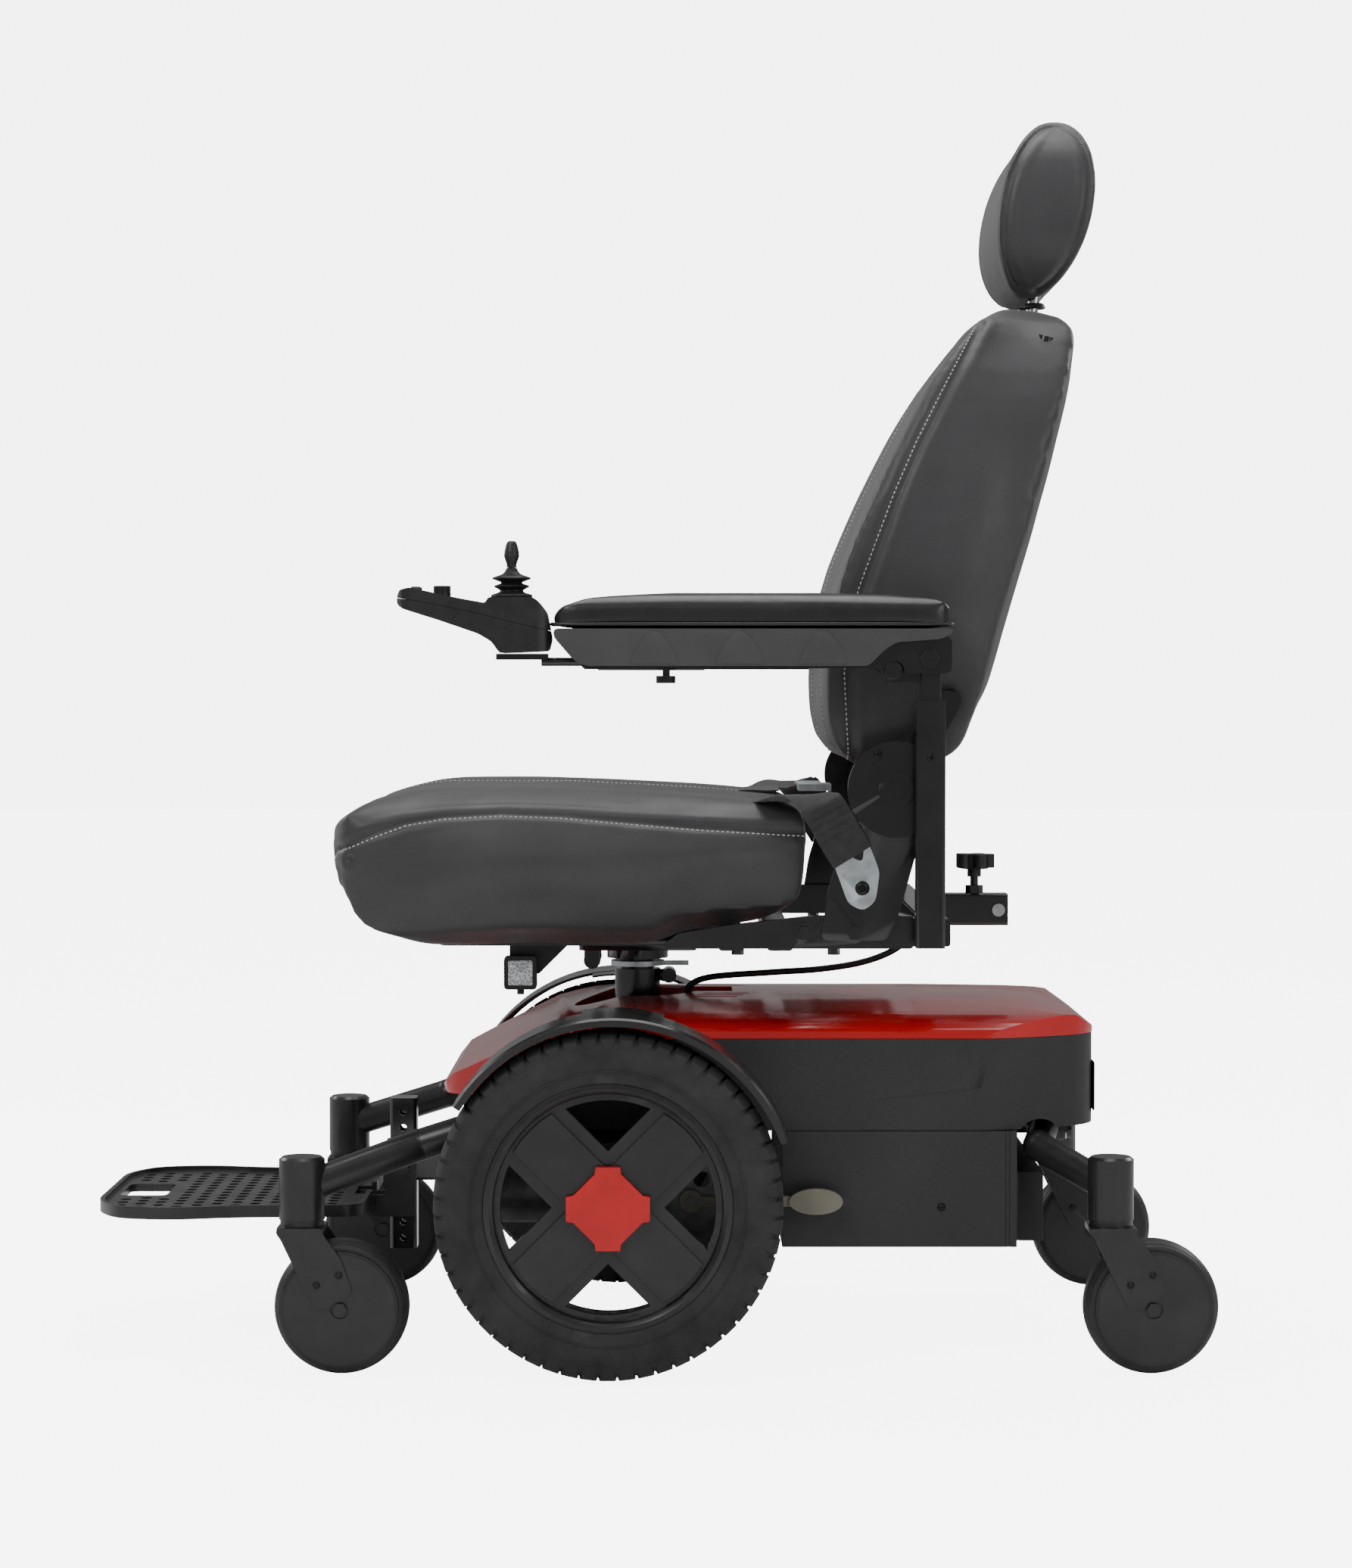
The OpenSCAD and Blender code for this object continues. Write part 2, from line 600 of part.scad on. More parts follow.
// ---------------------------------------------------------------- seat
module seat_frame() {
    z0 = seat_z;
    rail = [[52, z0], [288, z0], [288, z0 + 31], [192, z0 + 31], [112, z0 + 22], [66, z0 + 14], [52, z0 + 4]];
    plate = [[200, z0 + 8], [264, z0 + 8], [275, z0 + 36], [290, z0 + 90], [302, z0 + 115],
        [302, z0 + 165], [240, z0 + 165], [224, z0 + 110], [208, z0 + 60]];
    color([0.05, 0.05, 0.055]) place() {
        difference() {
            union() {
                // spindle, collar and mounting block
                cyl_z(post_x, 0, rail_z + 20, z0 - 20, spindle_r);
                cyl_z(post_x, 0, z0 - 28, z0 - 17, 31);
                xy(rounded(box_pts([-34, -48], [84, 48]), 8), z0 - 18, z0 - 3);
                for (s = sides) on_side(s) {
                    cyl_y(-21, z0 - 29, 26, 34, 8.5);
                    box([-29, 26, z0 - 29], [-13, 34, z0 - 16]);
                }
                // pan, cross members and rails
                xy(rounded(box_pts([-165, -seat_half + 62], [120, seat_half - 62]), 12), z0 - 3, z0 + 2);
                for (x = [104, 150])
                    xz(rounded(box_pts([x, z0 - 2], [x + 24, z0 + 14]), 3), -rail_out, rail_out);
                xz(rounded(box_pts([292, z0 + 4], [321, z0 + 30]), 3), -socket_y + 10, socket_y - 10);
                for (s = sides) on_side(s) {
                    xz(rounded(rail, 3, 2), rail_in, rail_out);
                    box([280, rail_in, z0 + 2], [300, rail_out, z0 + 29]);
                    xz(rounded(plate, 8), rail_out, plate_out);
                    cyl_y(recline_x, recline_z, rail_out, plate_out + 4, 45.6);
                    cyl_y(recline_x, recline_z, plate_out + 4, plate_out + 6, 17);
                    cyl_y(recline_x, recline_z, rail_in - 8, rail_out + 1, recline_pin_r);
                    // arm socket tube, welded to the rear cross member
                    xy(rounded(box_pts([socket_x - socket_w / 2, socket_y - socket_w / 2],
                        [socket_x + socket_w / 2, socket_y + socket_w / 2]), 3.5), socket_foot, socket_top);
                }
            }
            for (s = sides) on_side(s)
                translate([socket_x, socket_y, 0])
                    xy(rounded(box_pts([-post_w / 2 - free_gap, -post_w / 2 - free_gap],
                        [post_w / 2 + free_gap, post_w / 2 + free_gap]), 2), socket_foot + 22, socket_top + 1);
        }
        // rail bolts and the bolts under the rails
        for (s = sides, x = [185, 232]) on_side(s) {
            cyl_y(x, z0 + 15, rail_out, rail_out + 1.5, 10);
            translate([x, rail_out + 5.5, z0 + 15]) rotate([90, 0, 0]) cylinder(h = 4, r = 7, $fn = 6);
        }
        for (s = sides, x = [122, 213]) on_side(s)
            translate([x, rail_in + 6, z0 - 6]) cylinder(h = 6, r = 6, $fn = 6);
        for (s = sides) on_side(s)
            translate([recline_x, plate_out + 9, recline_z]) rotate([90, 0, 0])
                cylinder(h = 3, r = 8.5, $fn = 6);
    }
}

module seat_cushion() {
    z0 = lift;
    side_pts = [
        [-276, z0 + 521], [-270, z0 + 470], [-252, z0 + 424], [-226, z0 + 411], [-204, z0 + 408.5],
        [31, z0 + 408.5], [55, z0 + 412], [68, z0 + 421], [117, z0 + 429], [181, z0 + 438],
        [196, z0 + 446], [201, z0 + 465], [197, z0 + 496], [190, z0 + 535], [180, z0 + 545],
        [83, z0 + 553], [-17, z0 + 559], [-77, z0 + 562], [-137, z0 + 564], [-185, z0 + 560], [-237, z0 + 547]
    ];
    w = seat_half;
    section = rounded([
        [-w, 400], [-w, z0 + 521], [-w + 16, z0 + 541], [-w + 62, z0 + 564], [-w + 110, z0 + 560],
        [w - 110, z0 + 560], [w - 62, z0 + 564], [w - 16, z0 + 541], [w, z0 + 521], [w, 400]
    ], 24);
    plan = rounded([
        [-262, -w + 8], [-277, -w + 80], [-277, w - 80], [-262, w - 8], [-220, w], [196, w],
        [202, w - 30], [202, -w + 30], [196, -w], [-220, -w]
    ], 24);
    color([0.23, 0.23, 0.235]) place() intersection() {
        xz(rounded(side_pts, 10, 2), -w, w);
        yz(section, -300, 220);
        xy(plan, 380, z0 + 600);
    }
}

module accessory_receiver() {
    h = receiver_w / 2;
    inner = h - receiver_wall;
    z = receiver_z;
    color([0.05, 0.05, 0.055]) place() {
        difference() {
            yz(rounded(box_pts([-h, z - h], [h, z + h]), 3), receiver_x - 4, 400);
            box([receiver_x, -inner, z - inner], [401, inner, z + inner]);
            cyl_y(hitch_x, z, -h - 1, h + 1, hitch_r + run_gap);
            cyl_z(knob_x, 0, z, z + h + 1, 4 + run_gap);
        }
        // weld nut for the clamp screw
        difference() {
            translate([knob_x, 0, z + h]) cylinder(h = 8, r = 9, $fn = 6);
            cyl_z(knob_x, 0, z + h - 1, z + h + 9, 4 + run_gap);
        }
    }
}

module star_knob() {
    z = receiver_z + receiver_w / 2;
    color([0.07, 0.07, 0.075]) place() translate([knob_x, 0, 0]) {
        cyl_z(0, 0, z - receiver_wall, z + 26, 4);
        difference() {
            union() {
                cyl_z(0, 0, z + 17, z + 27, 7);
                cyl_z(0, 0, z + 25, z + 40, 14);
                for (i = [0:4]) rotate([0, 0, 72 * i]) translate([14, 0, z + 26]) cylinder(h = 14, r = 6.5);
            }
            cyl_z(0, 0, z + 10, z + 26, 4);
        }
    }
}

module receiver_pin() {
    z = receiver_z;
    half = receiver_w / 2;
    color([0.75, 0.75, 0.76]) place() {
        cyl_y(hitch_x, z, -half - 2, half + 10, hitch_r);
        cyl_y(hitch_x, z, -half - 5, -half - 2, hitch_r + 2);
    }
}

module belt_hardware() {
    z0 = lift;
    y = plate_out;
    anchor = rounded([[222, z0 + 496], [212, z0 + 486], [226, z0 + 448], [240, z0 + 441], [252, z0 + 450],
        [256, z0 + 478], [246, z0 + 504], [240, z0 + 500], [240, z0 + 487]], 6);
    color([0.8, 0.83, 0.84]) place() {
        for (s = sides) on_side(s) {
            xz(anchor, y, y + 2.5);
            translate([239, y + 8, z0 + 463]) rotate([90, 0, 0]) cylinder(h = 5.5, r = 8, $fn = 6);
        }
        // tongue and buckle halves on the two free ends
        box([184, -120, z0 + 550], [216, -72, z0 + 557]);
        box([188, 74, z0 + 550], [214, 120, z0 + 553]);
    }
}

module lap_belt() {
    z0 = lift;
    y = plate_out + 4.6;
    run = [[244, z0 + 489], [226, z0 + 484], [200, z0 + 512], [178, z0 + 547], [178, z0 + 549.5],
        [222, z0 + 549.5], [228, z0 + 530]];
    color([0.13, 0.13, 0.14]) place() for (s = sides) on_side(s) {
        xz(run, y, y + 2.5);
        box([178, 90, z0 + 547.5], [222, y + 2.5, z0 + 549.5]);
    }
}

module reflectors() {
    z0 = lift;
    y = 150;
    color([0.06, 0.06, 0.065]) place() for (s = sides) on_side(s) {
        difference() {
            xz(rounded(box_pts([-104, z0 + 357.5], [-72, z0 + 390]), 4), y - 7, y + 7);
            xz(rounded(box_pts([-100, z0 + 361.5], [-76, z0 + 386]), 2), y + 4, y + 8);
        }
        xz(rounded(box_pts([-100, z0 + 361.5], [-76, z0 + 386]), 2), y + 4, y + 6.4);
        cyl_z(-88, y, z0 + 352.5, z0 + 357.5, 3.5);
        // hanger plate under the seat pan
        xz([[-99, z0 + 402], [-99, z0 + 384], [-84, z0 + 372], [-70, z0 + 372], [-40, z0 + 402]], y - 11, y - 7);
    }
}

module swivel_lever() {
    z0 = seat_z;
    color([0.7, 0.7, 0.7]) place() difference() {
        union() {
            cyl_z(post_x, 0, z0 - 36, z0 - 31, 27);
            box([post_x, -7, z0 - 36], [post_x + 52, 7, z0 - 32]);
        }
        cyl_z(post_x, 0, z0 - 40, z0 - 28, spindle_r + run_gap);
    }
}

// ---------------------------------------------------------------- back and headrest
// Place on a headrest post's axis at height z
function head_post_at(z) = [414 + (z - 1000) * tan(head_tilt), head_post_y, z + lift];

// Tubes inside the back cushion; grow widens them for the cushion's pockets
module back_tubes(grow) {
    low = [322, 0, 640 + lift];
    high = [418, 0, 978 + lift];
    tube_y = back_w / 2 - 66;
    past = 12 * toward(high - low);
    cyl_y(low[0], low[2], -rail_in - 8 - grow, rail_in + 8 + grow, 8 + grow);
    cyl_y(high[0], high[2], -tube_y, tube_y, 8 + grow);
    for (s = sides) on_side(s) {
        rod(low + [0, tube_y, 0] - past, high + [0, tube_y, 0] + past, 9 + grow);
        rod(head_post_at(938), head_post_at(1000), head_post_r + 4 + grow);
    }
}

module back_frame() {
    bracket = [[271 - 16, 556], [271 + 4, 556 - 16], [271 + 16, 556 - 4], [332, 634], [330, 648], [314, 650]];
    color([0.05, 0.05, 0.055]) place() difference() {
        union() {
            back_tubes(0);
            for (s = sides) on_side(s) {
                xz(rounded(raised(bracket, lift), 8), rail_in + 3, rail_in + 8);
                cyl_y(recline_x, recline_z, rail_in + 3, rail_in + 8, recline_pin_r + 10);
            }
        }
        for (s = sides) on_side(s) {
            cyl_y(recline_x, recline_z, rail_in, rail_in + 10, recline_pin_r + run_gap);
            rod(head_post_at(930), head_post_at(1010), head_post_r + run_gap);
        }
    }
}

module back_cushion() {
    side_pts = [
        [452, 1004], [440, 950], [412, 844], [392, 774], [359, 663], [338, 596], [322, 582], [262, 575],
        [234, 576], [212, 599], [206, 629], [205, 666], [215, 744], [226, 780], [259, 853], [307, 947],
        [332, 980], [352, 1004], [380, 1026], [410, 1029], [440, 1020]
    ];
    w = back_w / 2;
    z0 = lift;
    section = rounded([
        [-w + 16, z0 + 575], [-w, z0 + 600], [-w, z0 + 850], [-w + 22, z0 + 950], [-w + 80, z0 + 1029],
        [w - 80, z0 + 1029], [w - 22, z0 + 950], [w, z0 + 850], [w, z0 + 600], [w - 16, z0 + 575]
    ], 40);
    color([0.23, 0.23, 0.235]) place() difference() {
        intersection() {
            xz(rounded(raised(side_pts, lift), 8, 2), -w, w);
            yz(section, 180, 480);
        }
        back_tubes(0.5);
        for (s = sides) on_side(s)
            rod(head_post_at(892), head_post_at(1040), head_post_r + 1.5);
    }
}

module headrest_posts() {
    color([0.6, 0.6, 0.61]) place()
        for (s = sides) on_side(s)
            rod(head_post_at(900), head_post_at(1092), head_post_r);
}

module headrest_cushion() {
    deep = 49;
    tall = 94;
    wide = 120;
    side_oval = [for (i = [0:47]) let (a = 7.5 * i, u = deep * cos(a), v = tall * sin(a))
        [head_x + u * cos(head_tilt) + v * sin(head_tilt), head_z - u * sin(head_tilt) + v * cos(head_tilt)]];
    front_oval = [for (i = [0:47]) let (a = 7.5 * i)
        [wide * sign(cos(a)) * pow(abs(cos(a)), 0.8), head_z + 98 * sign(sin(a)) * pow(abs(sin(a)), 0.8)]];
    color([0.23, 0.23, 0.235]) place() difference() {
        intersection() {
            xz(side_oval, -wide, wide);
            yz(front_oval, 300, 520);
        }
        for (s = sides) on_side(s)
            rod(head_post_at(1010), head_post_at(1092.5), head_post_r + 0.1);
    }
}

// ---------------------------------------------------------------- armrests
module arm_post(s) {
    z0 = lift;
    color([0.05, 0.05, 0.055]) place() on_side(s) {
        translate([socket_x, socket_y, 0])
            xy(rounded(box_pts([-post_w / 2, -post_w / 2], [post_w / 2, post_w / 2]), 2), z0 + 450, z0 + 690);
        // stop pin on a tab ahead of the post
        box([260, socket_y - 4, z0 + 656], [socket_x - 4, socket_y + 4, z0 + 668]);
        cyl_y(265, z0 + 668, socket_y - post_w / 2 - 3.4, socket_y + post_w / 2 + 3.8, 7.8);
        // pivot bolt
        cyl_y(arm_pivot_x, arm_pivot_z, socket_y - post_w / 2 - 5, socket_y + post_w / 2 + 5, arm_bolt_r);
        for (k = [-post_w / 2 - 8.4, post_w / 2 + 3.9])
            translate([arm_pivot_x, socket_y + k + 4.5, arm_pivot_z]) rotate([90, 0, 0])
                cylinder(h = 4.5, r = 9, $fn = 6);
    }
}

module arm_bracket(s) {
    z0 = lift;
    inner = post_w / 2 + 0.4;
    cheek = [[-24, 670], [248, 670], [256, 665], [316, 665], [320, 669], [320, 696], [316, 700], [256, 700],
        [252, 690], [-24, 690]];
    color([0.05, 0.05, 0.055]) place() on_side(s) difference() {
        union() {
            for (k = [-inner - 3, inner])
                xz(rounded(raised(cheek, lift), 2, 2), socket_y + k, socket_y + k + 3);
            box([-24, socket_y - inner - 1, z0 + 687], [250, socket_y + inner + 1, z0 + 690]);
            // tube that takes the joystick's rod, with its clamp knob
            cyl_x(socket_y, rod_z, -22, 95, rod_r + 3);
            box([-22, socket_y - 2, rod_z + 4], [95, socket_y + 2, z0 + 688]);
            cyl_z(54, socket_y, z0 + 656, z0 + 663, 9);
            cyl_z(54, socket_y, z0 + 660, rod_z - rod_r - 1, 3);
        }
        cyl_x(socket_y, rod_z, -30, 96, rod_r + run_gap);
        cyl_y(arm_pivot_x, arm_pivot_z, socket_y - 20, socket_y + 20, arm_bolt_r + run_gap);
        cyl_y(266, z0 + 667, socket_y - 20, socket_y + 20, 9.8);
    }
}

module arm_shell(s) {
    half = arm_w / 2;
    outer = [[-50, 706.8], [-50, 699], [-31, 677], [-20, 672], [242, 672], [257, 687], [268, 694], [309, 697],
        [320, 702], [320, 706.8]];
    cavity = [[-45, 703.5], [-45, 701], [-28, 681], [-25.5, 668], [-25.5, 640], [317.5, 640], [317.5, 703.5]];
    color([0.2, 0.2, 0.205]) place() on_side(s) {
        difference() {
            xz(rounded(raised(outer, lift), 4, 2), arm_mid - half, arm_mid + half);
            xz(raised(cavity, lift), arm_mid - half + 3, arm_mid + half - 3);
            cyl_x(socket_y, rod_z, -60, 0, rod_r + 3.6);
        }
        // arch-shaped grip pads along both flanks
        for (x = [43.5, 123, 200], y = [arm_mid - half - 0.8, arm_mid + half])
            xz([for (i = [0:12]) let (a = 15 * i)
                [x + 23 * cos(a) * (1 - 0.35 * sin(a)), 674 + lift + 31 * sin(a)]], y, y + 0.8);
    }
}

module arm_pad(s) {
    half = arm_w / 2 + 1;
    z0 = lift;
    side_pts = [[-53.5, 717], [-51, 709], [-46, 707.2], [314, 707.2], [321, 711], [322, 724], [314, 734],
        [296, 737.5], [200, 740], [60, 740], [-20, 736], [-45, 728]];
    section = rounded([[arm_mid - half, z0 + 707], [arm_mid + half, z0 + 707], [arm_mid + half, z0 + 728],
        [arm_mid + half - 12, z0 + 738], [arm_mid, z0 + 740.5], [arm_mid - half + 12, z0 + 738],
        [arm_mid - half, z0 + 728]], 7);
    plan = rounded(box_pts([-54, arm_mid - half], [323, arm_mid + half]), 24, 5);
    color([0.09, 0.09, 0.095]) place() on_side(s) intersection() {
        xz(rounded(raised(side_pts, lift), 5), arm_mid - half, arm_mid + half);
        yz(section, -60, 330);
        xy(plan, z0 + 700, z0 + 750);
    }
}

// ---------------------------------------------------------------- joystick
module joystick_bracket() {
    z0 = lift;
    color([0.08, 0.08, 0.085]) place() {
        cyl_x(-socket_y, rod_z, -62, 85, rod_r);
        box([-104, -socket_y - 5, z0 + 678], [-56, joy_y + 14, z0 + 683.6]);
    }
}

module joystick_case() {
    z0 = lift;
    half = case_w / 2;
    outline = [[-197, 735], [-194, 743], [-184, 745], [-170, 742], [-138, 735], [-113, 730.5], [-111, 736],
        [-69, 736], [-64, 731], [-57, 722], [-52, 697], [-55, 686], [-100, 684], [-108, 695], [-120, 702],
        [-155, 714], [-190, 725], [-196, 729]];
    seam = [[-205, 737.4], [-164, 730.2], [-120, 721.2], [-85, 712.2], [-45, 703.2],
        [-45, 702.8], [-85, 711.8], [-120, 720.8], [-164, 729.8], [-205, 737]];
    plan = rounded([[-197, -half + 16], [-186, -half + 3], [-120, -half], [-62, -half], [-52, -half + 8],
        [-52, half - 8], [-62, half], [-120, half], [-186, half - 3], [-197, half - 16]], 9);
    color([0.1, 0.1, 0.105]) place() translate([0, joy_y, 0]) difference() {
        intersection() {
            xz(rounded(raised(outline, lift), 2.5, 2), -half, half);
            xy(plan, z0 + 670, z0 + 760);
        }
        xz(raised(seam, lift), -half - 1, half + 1);
        // gimbal cavity, stick opening and trunnion holes
        cyl_z(joy_x, 0, joy_z - 18, joy_z + 10, 16);
        cyl_z(joy_x, 0, joy_z, joy_z + 20, 10.5);
        cyl_y(joy_x, joy_z, -20, 20, 2 + run_gap);
        // seats of the dial and the buttons
        cyl_z(-155, 0, z0 + 733.5, z0 + 760, 8 + free_gap);
        for (y = [-11, 11]) cyl_z(-179, y, z0 + 734, z0 + 760, button_r + free_gap);
    }
}

module joystick_gimbal() {
    color([0.5, 0.5, 0.52]) place() translate([0, joy_y, 0]) difference() {
        union() {
            difference() {
                cyl_z(joy_x, 0, joy_z - 3, joy_z + 3, 13);
                cyl_z(joy_x, 0, joy_z - 4, joy_z + 4, 9);
            }
            cyl_y(joy_x, joy_z, 11, 19, 2);
            cyl_y(joy_x, joy_z, -19, -11, 2);
        }
        cyl_x(0, joy_z, joy_x - 14, joy_x + 14, 1.5 + run_gap);
    }
}

module joystick_stick() {
    r = knob_r;
    z0 = joy_z;
    color([0.07, 0.07, 0.075]) place() translate([joy_x, joy_y, 0]) {
        translate([0, 0, z0]) sphere(r = 5.5);
        cyl_x(0, z0, -12.5, 12.5, 1.5);
        cyl_z(0, 0, z0, z0 + 46, 3);
        translate([0, 0, z0 + 42]) rotate_extrude() polygon([
            [0, 0], [4.6, 0], [4.6, 3], [r - 1.2, 7], [r, 11], [r - 0.4, 15], [r - 1.4, 20],
            [r - 2.6, 23.5], [r - 4.6, 25], [0, 25]
        ]);
    }
}

module joystick_boot() {
    b = joy_z + 14.3;
    color([0.08, 0.08, 0.085]) place() translate([joy_x, joy_y, b]) rotate_extrude() polygon([
        [3.1, 0], [19, 0], [19.5, 1.5], [18.8, 3], [11, 5.5], [11, 6.5], [16.4, 9.5], [16.4, 11], [10, 13],
        [10, 14], [18.2, 17], [18.2, 18.5], [8, 22], [6, 25], [4.8, 27.4], [3.1, 27.4]
    ]);
}

module speed_dial() {
    z0 = lift;
    color([0.12, 0.12, 0.125]) place() translate([-155, joy_y, 0]) difference() {
        cyl_z(0, 0, z0 + 734, z0 + 747, 8);
        for (i = [0:11]) rotate([0, 0, 30 * i]) cyl_z(8.4, 0, z0 + 741, z0 + 748, 1.2);
    }
}

module push_button(y) {
    z0 = lift;
    color([0.4, 0.4, 0.42]) place() translate([-179, joy_y + y, 0]) {
        cyl_z(0, 0, z0 + 736.5, z0 + 745.4, button_r);
        translate([0, 0, z0 + 745.4]) cylinder(h = 0.8, r1 = button_r, r2 = button_r - 0.8);
    }
}

// ---------------------------------------------------------------- footplate
foot_z = foot_pin_z + 3;
function foot_plan(t) = let (w = foot_w / 2) rounded([
    [foot_pin_x + 6 - t, -w * 0.86 + t], [-370, -w * 0.9 + t], [-430, -w + t], [-486, -w + 10 + t],
    [foot_tip_x + t, -w + 56], [foot_tip_x + t, w - 56], [-486, w - 10 - t], [-430, w - t],
    [-370, w * 0.9 - t], [foot_pin_x + 6 - t, w * 0.86 - t]
], 22, 4);

module footplate_hanger() {
    inner = hanger_w / 2 + free_gap;
    front = hanger_x - hanger_w / 2 - free_gap;
    cheek = [[foot_pin_x, 120], [-240, 114], [-201, 114], [-201, 190], [front - 4, 190], [front - 4, 136],
        [foot_pin_x, 136]];
    color([0.05, 0.05, 0.055]) place() {
        for (s = sides) on_side(s) {
            xz(rounded(cheek, 3, 2), inner, inner + 4);
            cyl_y(foot_pin_x, foot_pin_z, inner, inner + 4, foot_pin_r + 4);
            translate([hanger_x, inner + 8, 163]) rotate([90, 0, 0]) cylinder(h = 4.2, r = 7, $fn = 6);
        }
        box([front - 4, -inner - 1, 140], [front, inner + 1, 190]);
        cyl_y(foot_pin_x, foot_pin_z, -26, 26, foot_pin_r);
    }
}

module footplate() {
    ear_in = hanger_w / 2 + free_gap + 4.4;
    reach = foot_w / 2 * 0.86 - 14;
    pitch = 19;
    color([0.08, 0.08, 0.085]) place() difference() {
        union() {
            difference() {
                xy(foot_plan(0), foot_z, foot_z + foot_t + 4);
                xy(foot_plan(5), foot_z + foot_t, foot_z + foot_t + 5);
                // room for the hinge, the hand slot and the perforations
                box([foot_pin_x - 12, -27, foot_z - 1], [foot_pin_x + 20, 27, foot_z + 20]);
                box([foot_pin_x - 14, -27, foot_z + foot_t], [foot_pin_x + 20, 27, foot_z + 20]);
                xy(rounded(box_pts([foot_tip_x + 13, -40], [foot_tip_x + 60, 40]), 9), foot_z - 1, foot_z + 20);
                for (row = [0:11], k = [-7:7]) {
                    x = foot_pin_x - 28 - pitch * row;
                    y = pitch * (k + 0.5 * (row % 2));
                    if (abs(y) < reach && (x > foot_tip_x + 70 || abs(y) > 52))
                        cyl_z(x, y, foot_z - 1, foot_z + foot_t + 1, perf_r);
                }
            }
            for (s = sides) on_side(s) {
                cyl_y(foot_pin_x, foot_pin_z, ear_in, ear_in + 5, foot_pin_r + 4);
                box([foot_pin_x - 20, ear_in, foot_pin_z - 4], [foot_pin_x, ear_in + 5, foot_z + 5]);
            }
        }
        cyl_y(foot_pin_x, foot_pin_z, -30, 30, foot_pin_r + run_gap);
    }
}

// ---------------------------------------------------------------- seat cable
// Hand-chosen route from the opening beside the post to the rear cross member
cable_route = [
    [67, -16, 296], [67, -16, 306], [68, -17, 319], [70, -18, 333], [75, -19, 346], [84, -21, 354],
    [99, -24, 358.5], [120, -28, 361], [146, -32, 363], [172, -36, 365], [198, -41, 367], [222, -45, 370],
    [244, -49, 374], [264, -53, 380], [281, -57, 388], [294, -60, 398], [302, -62, 407.8]
];
cable_r = 3.4;
cable_sides = 10;
module control_cable() {
    n = len(cable_route);
    path = [for (i = [0:n - 1]) cable_route[i] + [0, 0, lift * i / (n - 1)]];
    function way(i) = toward(path[min(i + 1, n - 1)] - path[max(i - 1, 0)]);
    rings = [for (i = [0:n - 1])
        let (d = way(i), u = toward(cross(d, [0, 1, 0])), v = cross(d, u))
        each [for (k = [0:cable_sides - 1]) let (a = 360 * k / cable_sides)
            path[i] + cable_r * (u * cos(a) + v * sin(a))]];
    faces = [
        [for (k = [0:cable_sides - 1]) k],
        each [for (i = [0:n - 2], k = [0:cable_sides - 1]) let (j = (k + 1) % cable_sides, b = i * cable_sides)
            [b + cable_sides + k, b + cable_sides + j, b + j, b + k]],
        [for (k = [cable_sides - 1:-1:0]) (n - 1) * cable_sides + k]
    ];
    color([0.07, 0.07, 0.075]) place() polyhedron(rings, faces);
}

chassis_frame();
battery_case();
battery_pack();
lower_shroud();
top_shroud();
fenders();
power_module();
drive_motors();
seat_post();
freewheel_lever(left);  // freewheel_lever_left
freewheel_lever(right);  // freewheel_lever_right
front_arm(left);  // front_arm_left
front_arm(right);  // front_arm_right
rear_beam();
caster_fork("fl");  // caster_fork_fl
caster_fork("fr");  // caster_fork_fr
caster_fork("rl");  // caster_fork_rl
caster_fork("rr");  // caster_fork_rr
caster_wheel("fl");  // caster_wheel_fl
caster_wheel("fr");  // caster_wheel_fr
caster_wheel("rl");  // caster_wheel_rl
caster_wheel("rr");  // caster_wheel_rr
drive_rim(left);  // drive_rim_left
drive_rim(right);  // drive_rim_right
drive_tyre(left);  // drive_tyre_left
drive_tyre(right);  // drive_tyre_right
hub_cap(left);  // hub_cap_left
hub_cap(right);  // hub_cap_right
seat_frame();
seat_cushion();
accessory_receiver();
lap_belt();
belt_hardware();
reflectors();
swivel_lever();
star_knob();
receiver_pin();
back_frame();
back_cushion();
headrest_posts();
headrest_cushion();
arm_post(left);  // arm_post_left
arm_post(right);  // arm_post_right
arm_bracket(left);  // arm_bracket_left
arm_bracket(right);  // arm_bracket_right
arm_shell(left);  // arm_shell_left
arm_shell(right);  // arm_shell_right
arm_pad(left);  // arm_pad_left
arm_pad(right);  // arm_pad_right
joystick_bracket();
joystick_case();
joystick_gimbal();
joystick_stick();
joystick_boot();
speed_dial();
push_button(-11);  // power_button
push_button(11);  // horn_button
footplate_hanger();
footplate();
control_cable();
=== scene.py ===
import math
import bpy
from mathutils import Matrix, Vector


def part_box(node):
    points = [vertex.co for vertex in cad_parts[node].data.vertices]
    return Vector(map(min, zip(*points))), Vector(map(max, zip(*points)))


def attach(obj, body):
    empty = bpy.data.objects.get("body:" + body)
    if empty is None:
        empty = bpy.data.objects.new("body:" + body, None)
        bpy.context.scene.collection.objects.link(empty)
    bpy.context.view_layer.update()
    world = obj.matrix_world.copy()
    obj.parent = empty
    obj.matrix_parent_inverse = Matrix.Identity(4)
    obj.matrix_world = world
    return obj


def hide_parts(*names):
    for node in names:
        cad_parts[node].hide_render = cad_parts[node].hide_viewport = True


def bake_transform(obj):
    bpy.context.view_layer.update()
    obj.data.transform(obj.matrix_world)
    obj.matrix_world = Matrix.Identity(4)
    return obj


bl_info = {
    "name": "Power wheelchair",
    "version": (1, 0, 0),
    "blender": (4, 5, 0),
    "location": "View3D > Sidebar > Wheelchair",
    "description": "Upholstery, tyres, trim and finishes of a mid-wheel-drive power wheelchair",
    "category": "Object",
}

